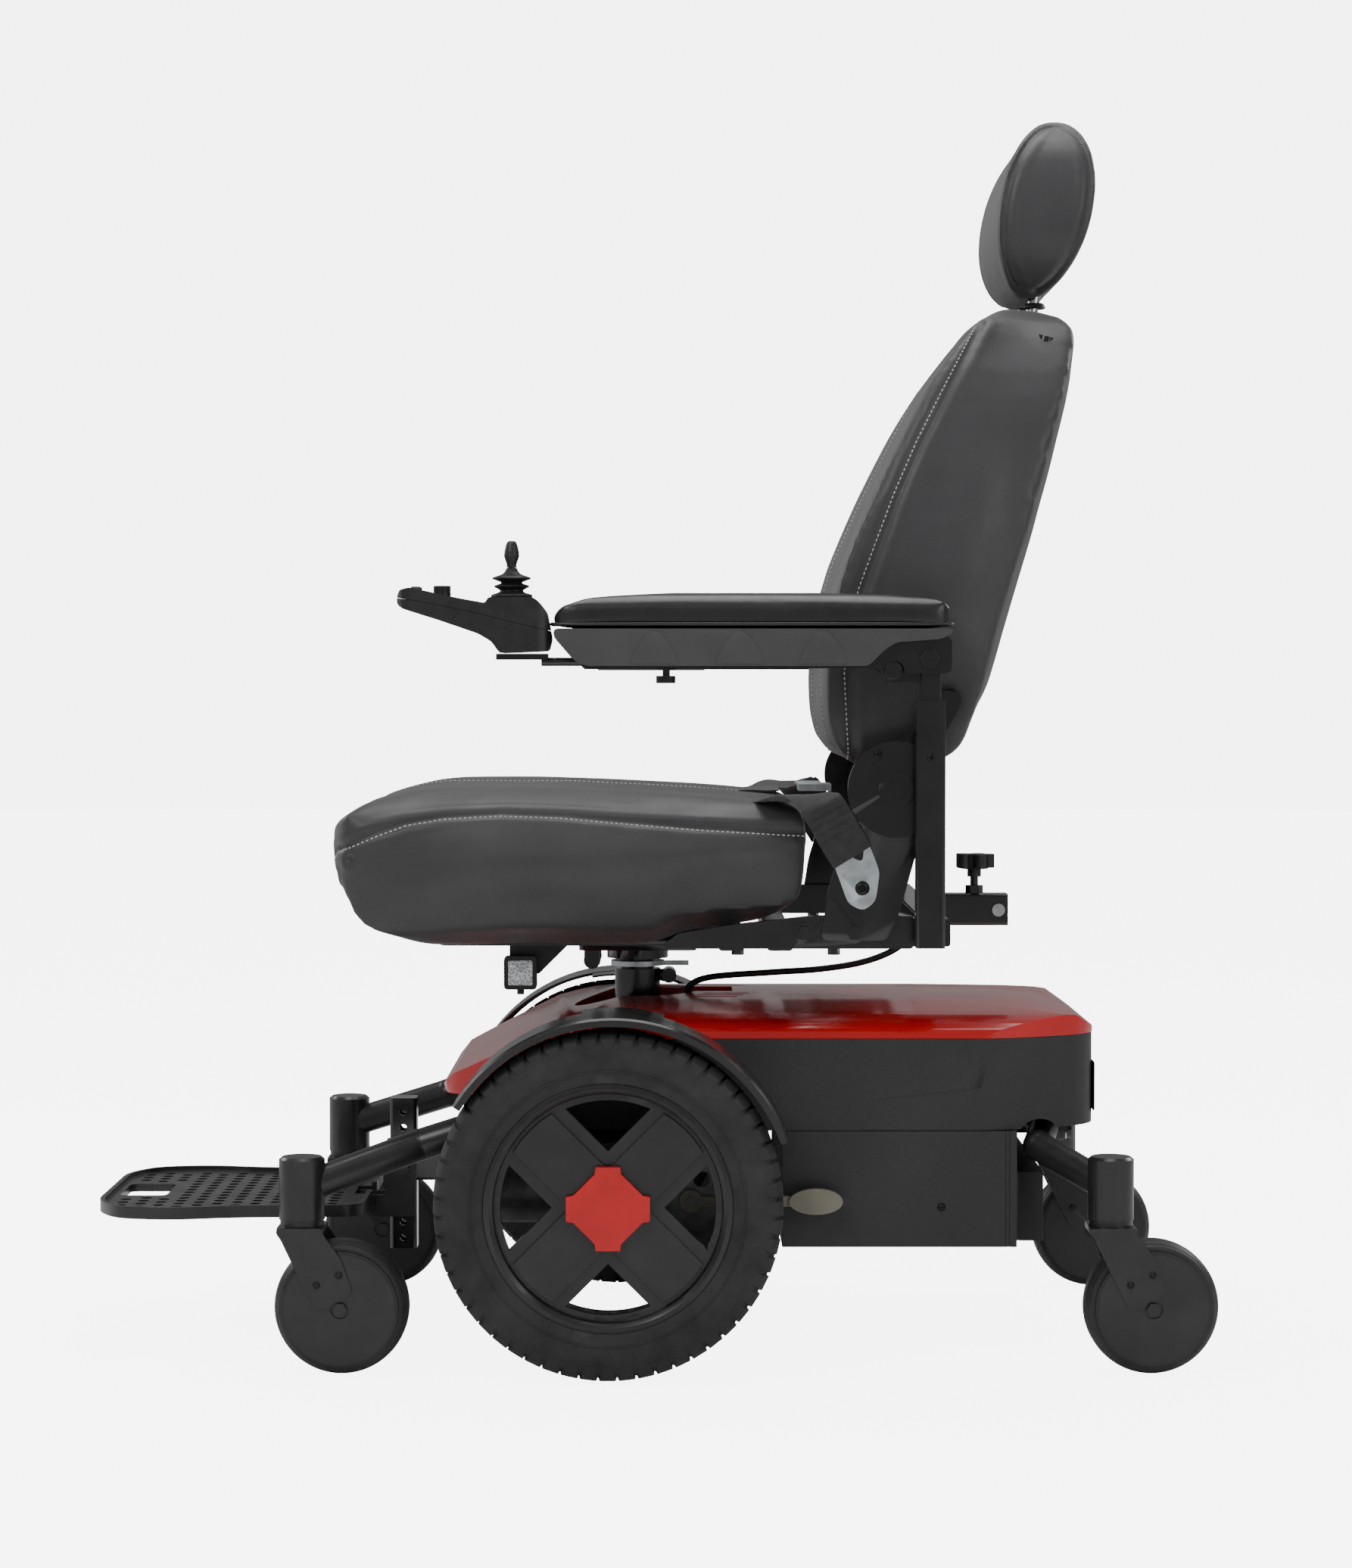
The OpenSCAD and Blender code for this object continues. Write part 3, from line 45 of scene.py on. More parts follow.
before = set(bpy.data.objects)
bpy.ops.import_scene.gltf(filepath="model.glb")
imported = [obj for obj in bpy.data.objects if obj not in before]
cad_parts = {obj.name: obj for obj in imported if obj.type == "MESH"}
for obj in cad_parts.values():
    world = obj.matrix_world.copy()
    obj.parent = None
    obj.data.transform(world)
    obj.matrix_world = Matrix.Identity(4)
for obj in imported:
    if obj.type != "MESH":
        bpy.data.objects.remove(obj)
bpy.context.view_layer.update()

import bmesh
import bpy
from bpy.props import FloatProperty, FloatVectorProperty, IntProperty, PointerProperty
from mathutils import Vector
from mathutils.bvhtree import BVHTree
from mathutils.kdtree import KDTree

PAPER = 6.0  # brightness of the backdrop to the camera, which the lamps' light is apart from
AXLE_X = -0.034  # the drive axle's place along the chair
FORK_LEG = 0.0260  # outer face of a caster fork's leg from the wheel's middle plane
DRIVE_Y = 267.5  # middle of a drive tyre from the chair's middle, in mm
AXLE_Z = 165  # height of the drive axle and radius of the tyre, in mm
JOY_Y = -281  # the joystick's middle plane, in mm
SIDES = (("left", -1), ("right", 1))
CORNERS = ("fl", "fr", "rl", "rr")


def at(x, y, z):
    """A point given in mm from the drive axle, the middle plane and the floor."""
    return Vector((x / 1000 + AXLE_X, y / 1000, z / 1000))


# ------------------------------------------------------------------ sizes and colours
class UpholsterySettings(bpy.types.PropertyGroup):
    cover: FloatVectorProperty(name="Cover", description="Colour of the coated cover", subtype="COLOR",
        size=3, default=(0.043, 0.043, 0.046), min=0, max=1)
    thread: FloatVectorProperty(name="Thread", description="Colour of the seam thread", subtype="COLOR",
        size=3, default=(0.62, 0.62, 0.60), min=0, max=1)
    stitch: FloatProperty(name="Stitch", description="Length of one stitch and its gap", subtype="DISTANCE",
        default=0.0048, min=0.002, max=0.02)
    swell: FloatProperty(name="Swell", description="Air pressure that swells the covers", default=4.0, min=0, max=20)
    groove: FloatProperty(name="Seam depth", description="How far a seam pulls into the foam",
        subtype="DISTANCE", default=0.0035, min=0, max=0.02)


class WheelSettings(bpy.types.PropertyGroup):
    lugs: IntProperty(name="Lugs", description="Tread lugs on each shoulder of a drive tyre",
        default=56, min=12, max=120)
    lug_height: FloatProperty(name="Lug height", description="Depth of the tread", subtype="DISTANCE",
        default=0.0026, min=0.001, max=0.008)
    rubber: FloatVectorProperty(name="Rubber", description="Colour of the drive tyres", subtype="COLOR",
        size=3, default=(0.022, 0.022, 0.0225), min=0, max=1)


class BodySettings(bpy.types.PropertyGroup):
    shroud: FloatVectorProperty(name="Shroud", description="Colour of the top cover and wheel caps",
        subtype="COLOR", size=3, default=(0.60, 0.003, 0.005), min=0, max=1)
    frame_coat: FloatVectorProperty(name="Powder coat", description="Colour of the coated steel",
        subtype="COLOR", size=3, default=(0.009, 0.009, 0.0095), min=0, max=1)
    edge: FloatProperty(name="Edge", description="Rounding of moulded edges", subtype="DISTANCE",
        default=0.0009, min=0, max=0.004)


GROUPS = {"chair_upholstery": UpholsterySettings, "chair_wheels": WheelSettings, "chair_body": BodySettings}


# ------------------------------------------------------------------ finishes
FINISHES = {}


class Finish:
    """Builds one surface finish from a Principled shader."""

    def __init__(self, name, colour, rough, metal=0.0, coat=0.0, sheen=0.0, ior=1.5):
        self.mat = bpy.data.materials.new(name)
        self.mat.use_nodes = True
        self.tree = self.mat.node_tree
        self.shader = self.tree.nodes["Principled BSDF"]
        self.colour = tuple(colour) + (1,)
        s = self.shader.inputs
        s["Base Color"].default_value = self.colour
        s["Roughness"].default_value = rough
        s["Metallic"].default_value = metal
        s["Coat Weight"].default_value = coat
        s["Coat Roughness"].default_value = 0.12
        s["Sheen Weight"].default_value = sheen
        s["Sheen Roughness"].default_value = 0.5
        s["IOR"].default_value = ior
        self.rough = rough
        self.mat.diffuse_color = self.colour
        self.coord = self.node("ShaderNodeTexCoord").outputs["Object"]
        self.height = None
        FINISHES[name] = self.mat

    def node(self, kind, **values):
        n = self.tree.nodes.new(kind)
        for k, v in values.items():
            if hasattr(n, k):
                setattr(n, k, v)
            else:
                n.inputs[k.replace("_", " ").title()].default_value = v
        return n

    def wire(self, a, b):
        self.tree.links.new(a, b)

    def noise(self, scale, detail=3.0, distort=0.0):
        n = self.node("ShaderNodeTexNoise", Scale=scale, Detail=detail, Distortion=distort)
        self.wire(self.coord, n.inputs["Vector"])
        return n.outputs["Fac"]

    def cells(self, scale):
        n = self.node("ShaderNodeTexVoronoi", Scale=scale)
        self.wire(self.coord, n.inputs["Vector"])
        return n.outputs["Distance"]

    def waves(self, scale, axis):
        n = self.node("ShaderNodeTexWave", bands_direction=axis, Scale=scale)
        self.wire(self.coord, n.inputs["Vector"])
        return n.outputs["Fac"]

    def spread(self, source, low, high, a=0.3, b=0.7):
        n = self.node("ShaderNodeMapRange", From_Min=a, From_Max=b, To_Min=low, To_Max=high)
        self.wire(source, n.inputs["Value"])
        return n.outputs["Result"]

    def mix(self, fac, one, two):
        n = self.node("ShaderNodeMix", data_type="RGBA")
        self.wire(fac, n.inputs["Factor"])
        for socket, value in ((n.inputs["A"], one), (n.inputs["B"], two)):
            for s in [i for i in n.inputs if i.name == socket.name and i.type == "RGBA"]:
                if hasattr(value, "is_output"):
                    self.wire(value, s)
                else:
                    s.default_value = value
        return [o for o in n.outputs if o.type == "RGBA"][0]

    def shades(self, source, darker=0.8, lighter=1.25):
        two = [tuple(min(1, v * k) for v in self.colour[:3]) + (1,) for k in (darker, lighter)]
        out = self.mix(self.spread(source, 0, 1), *two)
        self.wire(out, self.shader.inputs["Base Color"])
        self.tinted = out
        return self

    def wear(self, scale, colour, a=0.62, b=0.75):
        """Rubs the colour towards another in patches."""
        fac = self.spread(self.noise(scale, 6.0), 0, 1, a, b)
        self.wire(self.mix(fac, self.tinted, tuple(colour) + (1,)), self.shader.inputs["Base Color"])
        return self

    def polish(self, source, swing):
        self.wire(self.spread(source, self.rough - swing, self.rough + swing), self.shader.inputs["Roughness"])
        return self

    def relief(self, source, strength, distance):
        n = self.node("ShaderNodeBump", Strength=strength, Distance=distance)
        self.wire(source, n.inputs["Height"])
        if self.height:
            self.wire(self.height, n.inputs["Normal"])
        self.height = n.outputs["Normal"]
        self.wire(self.height, self.shader.inputs["Normal"])
        return self


def make_finishes(scene):
    up, wheel, body = scene.chair_upholstery, scene.chair_wheels, scene.chair_body
    f = Finish("grained cover", up.cover, 0.52, sheen=0.12, coat=0.06)
    f.shades(f.noise(9, 4), 0.86, 1.16).polish(f.noise(22, 5), 0.07)
    f.relief(f.cells(1150), 0.35, 0.00018).relief(f.noise(2600, 2), 0.2, 0.0001)
    f.relief(f.noise(38, 3, 0.6), 0.25, 0.0012)
    f = Finish("seam thread", up.thread, 0.7, sheen=0.2)
    f.shades(f.noise(300), 0.75, 1.15).relief(f.waves(1500, "DIAGONAL"), 0.6, 0.0001)
    f = Finish("dark thread", (0.03, 0.03, 0.032), 0.7)
    f.shades(f.noise(300), 0.7, 1.3)
    f = Finish("arm vinyl", (0.016, 0.016, 0.017), 0.36, coat=0.15)
    f.shades(f.noise(14, 4), 0.8, 1.3).polish(f.noise(30, 4), 0.06)
    f.relief(f.cells(900), 0.3, 0.00018).relief(f.noise(60, 3, 1.0), 0.2, 0.001)
    f = Finish("powder coat", body.frame_coat, 0.2, coat=0.6)
    f.shades(f.noise(16, 4), 0.75, 1.4).polish(f.noise(35, 5), 0.06).relief(f.noise(1400, 2), 0.18, 0.0001)
    f = Finish("satin coat", (0.015, 0.015, 0.0155), 0.36, coat=0.2)
    f.shades(f.noise(20, 4), 0.75, 1.4).polish(f.noise(45, 5), 0.08).relief(f.noise(1600, 2), 0.3, 0.00012)
    f = Finish("moulded charcoal", (0.024, 0.024, 0.025), 0.5)
    f.shades(f.noise(7, 4), 0.85, 1.2).polish(f.noise(18, 5), 0.06)
    f.relief(f.cells(1500), 0.35, 0.00015).relief(f.noise(6, 2), 0.1, 0.002)
    f = Finish("arm shell plastic", (0.060, 0.060, 0.062), 0.5)
    f.shades(f.noise(11, 4), 0.88, 1.14).polish(f.noise(25, 5), 0.06).relief(f.cells(1800), 0.35, 0.00013)
    f = Finish("shroud red", body.shroud, 0.22, coat=0.7)
    f.shades(f.noise(5, 4), 0.9, 1.1).polish(f.noise(12, 5), 0.04).relief(f.noise(220, 3), 0.04, 0.0004)
    f = Finish("cap red", body.shroud, 0.36, coat=0.25)
    f.shades(f.noise(30, 4), 0.9, 1.12).polish(f.noise(60, 5), 0.05).relief(f.cells(1500), 0.15, 0.0001)
    f = Finish("fender gloss", (0.011, 0.011, 0.0115), 0.3, coat=0.3)
    f.shades(f.noise(14, 4), 0.8, 1.35).polish(f.noise(30, 5), 0.06).relief(f.noise(900, 2), 0.12, 0.0001)
    f = Finish("drive rubber", wheel.rubber, 0.74, sheen=0.05)
    f.shades(f.noise(24, 5), 0.72, 1.45).wear(14, (0.05, 0.049, 0.047)).polish(f.noise(60, 5), 0.09)
    f.relief(f.noise(1300, 3), 0.4, 0.0002)
    f = Finish("caster rubber", (0.026, 0.026, 0.0265), 0.5)
    f.shades(f.noise(40, 5), 0.75, 1.4).wear(30, (0.045, 0.044, 0.043), 0.66, 0.8)
    f.relief(f.noise(1500, 3), 0.3, 0.00015)
    f = Finish("rim coat", (0.012, 0.012, 0.0125), 0.36, coat=0.2)
    f.shades(f.noise(26, 4), 0.75, 1.4).polish(f.noise(50, 5), 0.07).relief(f.noise(1500, 2), 0.25, 0.00012)
    f = Finish("webbing", (0.017, 0.017, 0.019), 0.62, sheen=0.35)
    f.shades(f.noise(90, 4), 0.7, 1.5)
    f.relief(f.waves(620, "DIAGONAL"), 0.7, 0.0004).relief(f.waves(900, "Y"), 0.5, 0.0003)
    f = Finish("zinc plate", (0.62, 0.67, 0.69), 0.34, metal=0.8)
    f.shades(f.noise(60, 5), 0.82, 1.15).wear(25, (0.48, 0.5, 0.44), 0.58, 0.8).polish(f.noise(120, 5), 0.08)
    f.relief(f.noise(900, 3), 0.12, 0.0001)
    f = Finish("bright steel", (0.62, 0.62, 0.63), 0.16, metal=1.0)
    f.shades(f.noise(50, 4), 0.9, 1.1).polish(f.noise(200, 4), 0.05).relief(f.waves(700, "Z"), 0.04, 0.0001)
    f = Finish("cast metal", (0.16, 0.16, 0.165), 0.5, metal=0.85)
    f.shades(f.noise(40, 5), 0.6, 1.5).relief(f.noise(700, 4), 0.5, 0.0003)
    f = Finish("lever beige", (0.22, 0.205, 0.16), 0.5)
    f.shades(f.noise(40, 4), 0.88, 1.12).relief(f.cells(1600), 0.3, 0.00013)
    f = Finish("housing black", (0.014, 0.014, 0.0145), 0.42)
    f.shades(f.noise(30, 4), 0.8, 1.35).polish(f.noise(70, 5), 0.07).relief(f.cells(2200), 0.4, 0.00012)
    f = Finish("boot rubber", (0.012, 0.012, 0.0125), 0.5)
    f.shades(f.noise(60, 4), 0.8, 1.4).relief(f.noise(1500, 3), 0.3, 0.00012)
    f = Finish("button grey", (0.10, 0.10, 0.105), 0.5)
    f.shades(f.noise(90, 4), 0.85, 1.2).relief(f.cells(2500), 0.25, 0.0001)
    f = Finish("cell case", (0.09, 0.10, 0.12), 0.5)
    f.shades(f.noise(20, 4), 0.8, 1.2).relief(f.cells(1200), 0.3, 0.00015)
    f = Finish("cable jacket", (0.010, 0.010, 0.0105), 0.42)
    f.shades(f.noise(80, 4), 0.8, 1.4).relief(f.noise(900, 3), 0.25, 0.0001)
    f = Finish("reflector lens", (0.72, 0.75, 0.78), 0.12, metal=0.35, coat=0.8)
    f.shades(f.cells(420), 0.55, 1.3).relief(f.cells(420), 0.5, 0.0006)
    f = Finish("screw black", (0.02, 0.02, 0.021), 0.32, metal=0.6)
    f.shades(f.noise(200, 4), 0.7, 1.5).relief(f.noise(1800, 3), 0.2, 0.0001)
    f = Finish("screw zinc", (0.45, 0.46, 0.47), 0.3, metal=0.95)
    f.shades(f.noise(200, 4), 0.7, 1.2).relief(f.noise(1800, 3), 0.2, 0.0001)


# ------------------------------------------------------------------ mesh helpers
def keep(name, mesh, finish, body=None, smooth=40):
    """Puts a finished mesh in the scene with its finish, smooth below the given angle."""
    mesh.materials.clear()
    for m in finish if isinstance(finish, (list, tuple)) else [finish]:
        mesh.materials.append(FINISHES[m])
    mesh.polygons.foreach_set("use_smooth", [True] * len(mesh.polygons))
    mesh.set_sharp_from_angle(angle=math.radians(smooth))
    piece = bpy.data.objects.new(name, mesh)
    bpy.context.scene.collection.objects.link(piece)
    if body:
        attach(piece, body)
    return piece


def mesh_of(bm, name):
    bmesh.ops.remove_doubles(bm, verts=bm.verts, dist=1e-6)
    bmesh.ops.recalc_face_normals(bm, faces=bm.faces)
    mesh = bpy.data.meshes.new(name)
    bm.to_mesh(mesh)
    bm.free()
    return mesh


def loft(bm, rings, closed=False, caps=True):
    """Skins rings of points that hold the same number; closed joins the last ring to the first."""
    rows = [[bm.verts.new(p) for p in ring] for ring in rings]
    n = len(rows[0])
    pairs = list(zip(rows, rows[1:])) + ([(rows[-1], rows[0])] if closed else [])
    for a, b in pairs:
        for i in range(n):
            bm.faces.new((a[i], a[(i + 1) % n], b[(i + 1) % n], b[i]))
    if caps and not closed:
        bm.faces.new(rows[0])
        bm.faces.new(rows[-1])


def turned(bm, outline, centre, axis="Y", steps=72, side=1):
    """Turns a closed outline of (radius, along) in metres about an axis through centre."""
    rings = []
    for i in range(steps):
        a = 2 * math.pi * i / steps
        c, s = math.cos(a), math.sin(a)
        ring = []
        for r, t in outline:
            off = {"Y": (r * c, side * t, r * s), "Z": (r * c, r * s, t), "X": (t, r * c, r * s)}[axis]
            ring.append(centre + Vector(off))
        rings.append(ring)
    loft(bm, rings, closed=True)


def tube(bm, path, radius, sides=12):
    """A round tube along path; radius is a number or one for each point."""
    path = [Vector(p) for p in path]
    radii = radius if isinstance(radius, (list, tuple)) else [radius] * len(path)
    rings, up = [], None
    for i, p in enumerate(path):
        t = (path[min(i + 1, len(path) - 1)] - path[max(i - 1, 0)]).normalized()
        if up is None:
            up = t.orthogonal().normalized()
        up = (up - t * up.dot(t)).normalized()
        right = t.cross(up)
        rings.append([p + radii[i] * (math.cos(a) * up + math.sin(a) * right)
                      for a in [2 * math.pi * k / sides for k in range(sides)]])
    loft(bm, rings)


def curved(points, per=6):
    """A smooth line through the points."""
    pts = [Vector(p) for p in points]
    pts = [2 * pts[0] - pts[1]] + pts + [2 * pts[-1] - pts[-2]]
    out = []
    for i in range(1, len(pts) - 2):
        a, b, c, d = pts[i - 1:i + 3]
        for k in range(per):
            t = k / per
            out.append(0.5 * (2 * b + (c - a) * t + (2 * a - 5 * b + 4 * c - d) * t * t
                              + (3 * b - a - 3 * c + d) * t ** 3))
    return out + [pts[-2]]


def merged_copy(node):
    """The CAD node's mesh as a bmesh whose loose triangles are joined."""
    bm = bmesh.new()
    bm.from_mesh(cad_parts[node].data)
    bmesh.ops.remove_doubles(bm, verts=bm.verts, dist=2e-6)
    return bm


def refined(node, finish, body, edge=0.0, angle=32, flat=0.6):
    """A smooth-shaded copy of a CAD node with its moulded edges rounded, which replaces it."""
    bm = merged_copy(node)
    bmesh.ops.dissolve_limit(bm, angle_limit=math.radians(flat), verts=bm.verts, edges=bm.edges)
    mesh = bpy.data.meshes.new(node + "_finished")
    bm.to_mesh(mesh)
    bm.free()
    piece = keep(node + "_finished", mesh, finish, body, smooth=angle)
    if edge:
        m = piece.modifiers.new("edges", "BEVEL")
        m.width = edge
        m.segments = 2
        m.limit_method = "ANGLE"
        m.angle_limit = math.radians(angle)
        m.harden_normals = True
        m.use_clamp_overlap = True
    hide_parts(node)
    return piece


def finish_node(node, finish):
    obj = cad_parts[node]
    for s in obj.material_slots:
        s.material = FINISHES[finish]


# ------------------------------------------------------------------ geometry-node builders
def build_tree(name, sockets, nodes, wires):
    """A geometry-node tree: nodes are (kind, settings, values), and a wire reads "node.Output > node.Input"."""
    tree = bpy.data.node_groups.new(name, "GeometryNodeTree")
    tree.is_modifier = True
    tree.interface.new_socket("Geometry", in_out="INPUT", socket_type="NodeSocketGeometry")
    for label, kind, value in sockets:
        socket = tree.interface.new_socket(label, in_out="INPUT", socket_type="NodeSocket" + kind)
        if value is not None:
            socket.default_value = value
    tree.interface.new_socket("Geometry", in_out="OUTPUT", socket_type="NodeSocketGeometry")
    made = {"in": tree.nodes.new("NodeGroupInput"), "out": tree.nodes.new("NodeGroupOutput")}
    for key, (kind, settings, values) in {**nodes, **LAST_NODES}.items():
        node = made[key] = tree.nodes.new(kind)
        for k, v in settings.items():
            setattr(node, k, v)
        for k, v in values.items():
            node.inputs[k].default_value = v
    for wire in wires + LAST_WIRES:
        (a, given), (b, taken) = (end.split(".") for end in wire.split(" > "))
        tree.links.new(made[a].outputs[int(given) if given.isdigit() else given],
                       made[b].inputs[int(taken) if taken.isdigit() else taken])
    return tree


# every tree ends by making its instances real and giving them their finish
LAST_NODES = {"real": ("GeometryNodeRealizeInstances", {}, {}), "paint": ("GeometryNodeSetMaterial", {}, {})}
LAST_WIRES = ["real.Geometry > paint.Geometry", "in.Finish > paint.Material", "paint.Geometry > out.Geometry"]


def stitch_tree():
    """Thread stitches laid along every edge of a line mesh."""
    return build_tree("Seam stitches", (
        ("Spacing", "Float", 0.0048), ("Thread length", "Float", 0.0034), ("Thread thickness", "Float", 0.0011),
        ("Finish", "Material", None)), {
        "curve": ("GeometryNodeMeshToCurve", {}, {}),
        "even": ("GeometryNodeResampleCurve", {"mode": "LENGTH"}, {}),
        "tangent": ("GeometryNodeInputTangent", {}, {}),
        "aim": ("FunctionNodeAlignRotationToVector", {"axis": "X"}, {}),
        "grain": ("GeometryNodeMeshUVSphere", {}, {"Segments": 6, "Rings": 4, "Radius": 0.5}),
        "size": ("ShaderNodeCombineXYZ", {}, {}),
        "shape": ("GeometryNodeTransform", {}, {}),
        "place": ("GeometryNodeInstanceOnPoints", {}, {})}, [
        "in.Geometry > curve.Mesh", "curve.Curve > even.Curve", "in.Spacing > even.Length",
        "tangent.Tangent > aim.Vector", "in.Thread length > size.X", "in.Thread thickness > size.Y",
        "in.Thread thickness > size.Z", "grain.Mesh > shape.Geometry", "size.Vector > shape.Scale",
        "even.Curve > place.Points", "shape.Geometry > place.Instance", "aim.Rotation > place.Rotation",
        "place.Instances > real.Geometry"])


def screw_tree():
    """One template piece set on every point, its +Z along the point's aim."""
    return build_tree("Screw heads", (
        ("Head", "Object", None), ("Scale", "Float", 1.0), ("Finish", "Material", None)), {
        "head": ("GeometryNodeObjectInfo", {}, {}),
        "aims": ("GeometryNodeInputNamedAttribute", {"data_type": "FLOAT_VECTOR"}, {"Name": "aim"}),
        "aim": ("FunctionNodeAlignRotationToVector", {"axis": "Z"}, {}),
        "points": ("GeometryNodeMeshToPoints", {}, {}),
        "place": ("GeometryNodeInstanceOnPoints", {}, {})}, [
        "in.Head > head.Object", "in.Geometry > points.Mesh", "points.Points > place.Points",
        "head.Geometry > place.Instance", "aims.Attribute > aim.Vector", "aim.Rotation > place.Rotation",
        "in.Scale > place.Scale", "place.Instances > real.Geometry"])


def lug_tree():
    """A ring of tread lugs round the Y axis through the wheel's centre."""
    return build_tree("Tread lugs", (
        ("Lug", "Object", None), ("Count", "Int", 60), ("Centre", "Vector", None), ("Finish", "Material", None)), {
        "lug": ("GeometryNodeObjectInfo", {}, {}),
        "line": ("GeometryNodeMeshLine", {}, {"Offset": (0, 0, 0)}),
        "index": ("GeometryNodeInputIndex", {}, {}),
        "share": ("ShaderNodeMath", {"operation": "DIVIDE"}, {}),
        "turn": ("ShaderNodeMath", {"operation": "MULTIPLY"}, {1: 2 * math.pi}),
        "euler": ("ShaderNodeCombineXYZ", {}, {}),
        "place": ("GeometryNodeInstanceOnPoints", {}, {}),
        "shift": ("GeometryNodeTransform", {}, {})}, [
        "in.Lug > lug.Object", "in.Count > line.Count", "index.Index > share.0", "in.Count > share.1",
        "share.0 > turn.0", "turn.0 > euler.Y", "line.Mesh > place.Points", "lug.Geometry > place.Instance",
        "euler.Vector > place.Rotation", "place.Instances > shift.Geometry", "in.Centre > shift.Translation",
        "shift.Geometry > real.Geometry"])


TREES = {}


def tree_for(name):
    if name not in TREES:
        TREES[name] = {"stitches": stitch_tree, "screws": screw_tree, "lugs": lug_tree}[name]()
    return TREES[name]


def run_tree(base, tree, inputs):
    """Evaluates a geometry-node tree on a mesh and returns the result as a plain mesh."""
    obj = bpy.data.objects.new("work", base)
    bpy.context.scene.collection.objects.link(obj)
    mod = obj.modifiers.new("build", "NODES")
    mod.node_group = tree
    for item in tree.interface.items_tree:
        if item.item_type == "SOCKET" and item.in_out == "INPUT" and item.name in inputs:
            mod[item.identifier] = inputs[item.name]
    graph = bpy.context.evaluated_depsgraph_get()
    graph.update()
    mesh = bpy.data.meshes.new_from_object(obj.evaluated_get(graph), depsgraph=graph)
    obj.modifiers.clear()
    bpy.data.objects.remove(obj)
    return mesh


def line_mesh(lines):
    mesh = bpy.data.meshes.new("lines")
    verts, edges = [], []
    for line in lines:
        k = len(verts)
        verts += [tuple(p) for p in line]
        edges += [(k + i, k + i + 1) for i in range(len(line) - 1)]
    mesh.from_pydata(verts, edges, [])
    return mesh


def stitched(name, lines, body, finish="seam thread", spacing=None, length=0.0034, thick=0.0011):
    up = bpy.context.scene.chair_upholstery
    mesh = run_tree(line_mesh(lines), tree_for("stitches"), {
        "Spacing": spacing or up.stitch, "Thread length": length, "Thread thickness": thick,
        "Finish": FINISHES[finish]})
    return keep(name, mesh, finish, body, smooth=80)


def screws(name, head, spots, body, finish="screw black", scale=1.0):
    """Heads at (point, aim) spots; all of them are one plain mesh that rides on the body."""
    base = bpy.data.meshes.new("spots")
    base.from_pydata([tuple(p) for p, _ in spots], [], [])
    aim = base.attributes.new("aim", "FLOAT_VECTOR", "POINT")
    for i, (_, d) in enumerate(spots):
        aim.data[i].vector = Vector(d).normalized()
    mesh = run_tree(base, tree_for("screws"), {"Head": head, "Scale": scale, "Finish": FINISHES[finish]})
    return keep(name, mesh, finish, body, smooth=35)


def template(name, build):
    bm = bmesh.new()
    build(bm)
    obj = bpy.data.objects.new(name, mesh_of(bm, name))
    bpy.context.scene.collection.objects.link(obj)
    return obj


def drop(*objects):
    for o in objects:
        bpy.data.objects.remove(o)


def socket_head(bm, r=1.0, tall=0.55):
    """Button head with a hexagonal socket, of radius 1 mm before scaling."""
    k = 0.001
    rings = []
    for rad, z in ((r, 0), (r, 0.12 * tall), (0.93 * r, 0.55 * tall), (0.75 * r, 0.88 * tall), (0.56 * r, tall)):
        turns = [i * math.pi / 6 for i in range(12)]
        rings.append([Vector((rad * math.cos(a), rad * math.sin(a), z)) * k for a in turns])
    for rad, z in ((0.5 * r, tall), (0.5 * r, 0.25 * tall)):
        ring = []
        for i in range(12):
            a = i * math.pi / 6
            reach = rad * (1 if i % 2 == 0 else math.cos(math.pi / 6))
            ring.append(Vector((reach * math.cos(a), reach * math.sin(a), z)) * k)
        rings.append(ring)
    loft(bm, rings)


def cross_head(bm, r=1.0):
    """Pan head with a crossed recess, of radius 1 mm before scaling."""
    k = 0.001

    def star(rad, z):
        return [Vector((rad * (1, 0.42, 0.42)[i % 3] * math.cos(a), rad * (1, 0.42, 0.42)[i % 3] * math.sin(a), z)) * k
                for i in range(12) for a in [(i // 3) * math.pi / 2 + (0, 0.5, 1.07)[i % 3]]]

    def ring(rad, z):
        return [Vector((rad * math.cos(a), rad * math.sin(a), z)) * k
                for i in range(12) for a in [(i // 3) * math.pi / 2 + (0, 0.5, 1.07)[i % 3]]]
    loft(bm, [ring(r, 0), ring(r, 0.1), ring(0.9 * r, 0.35), ring(0.7 * r, 0.5),
              star(0.62 * r, 0.5), star(0.4 * r, 0.12)])


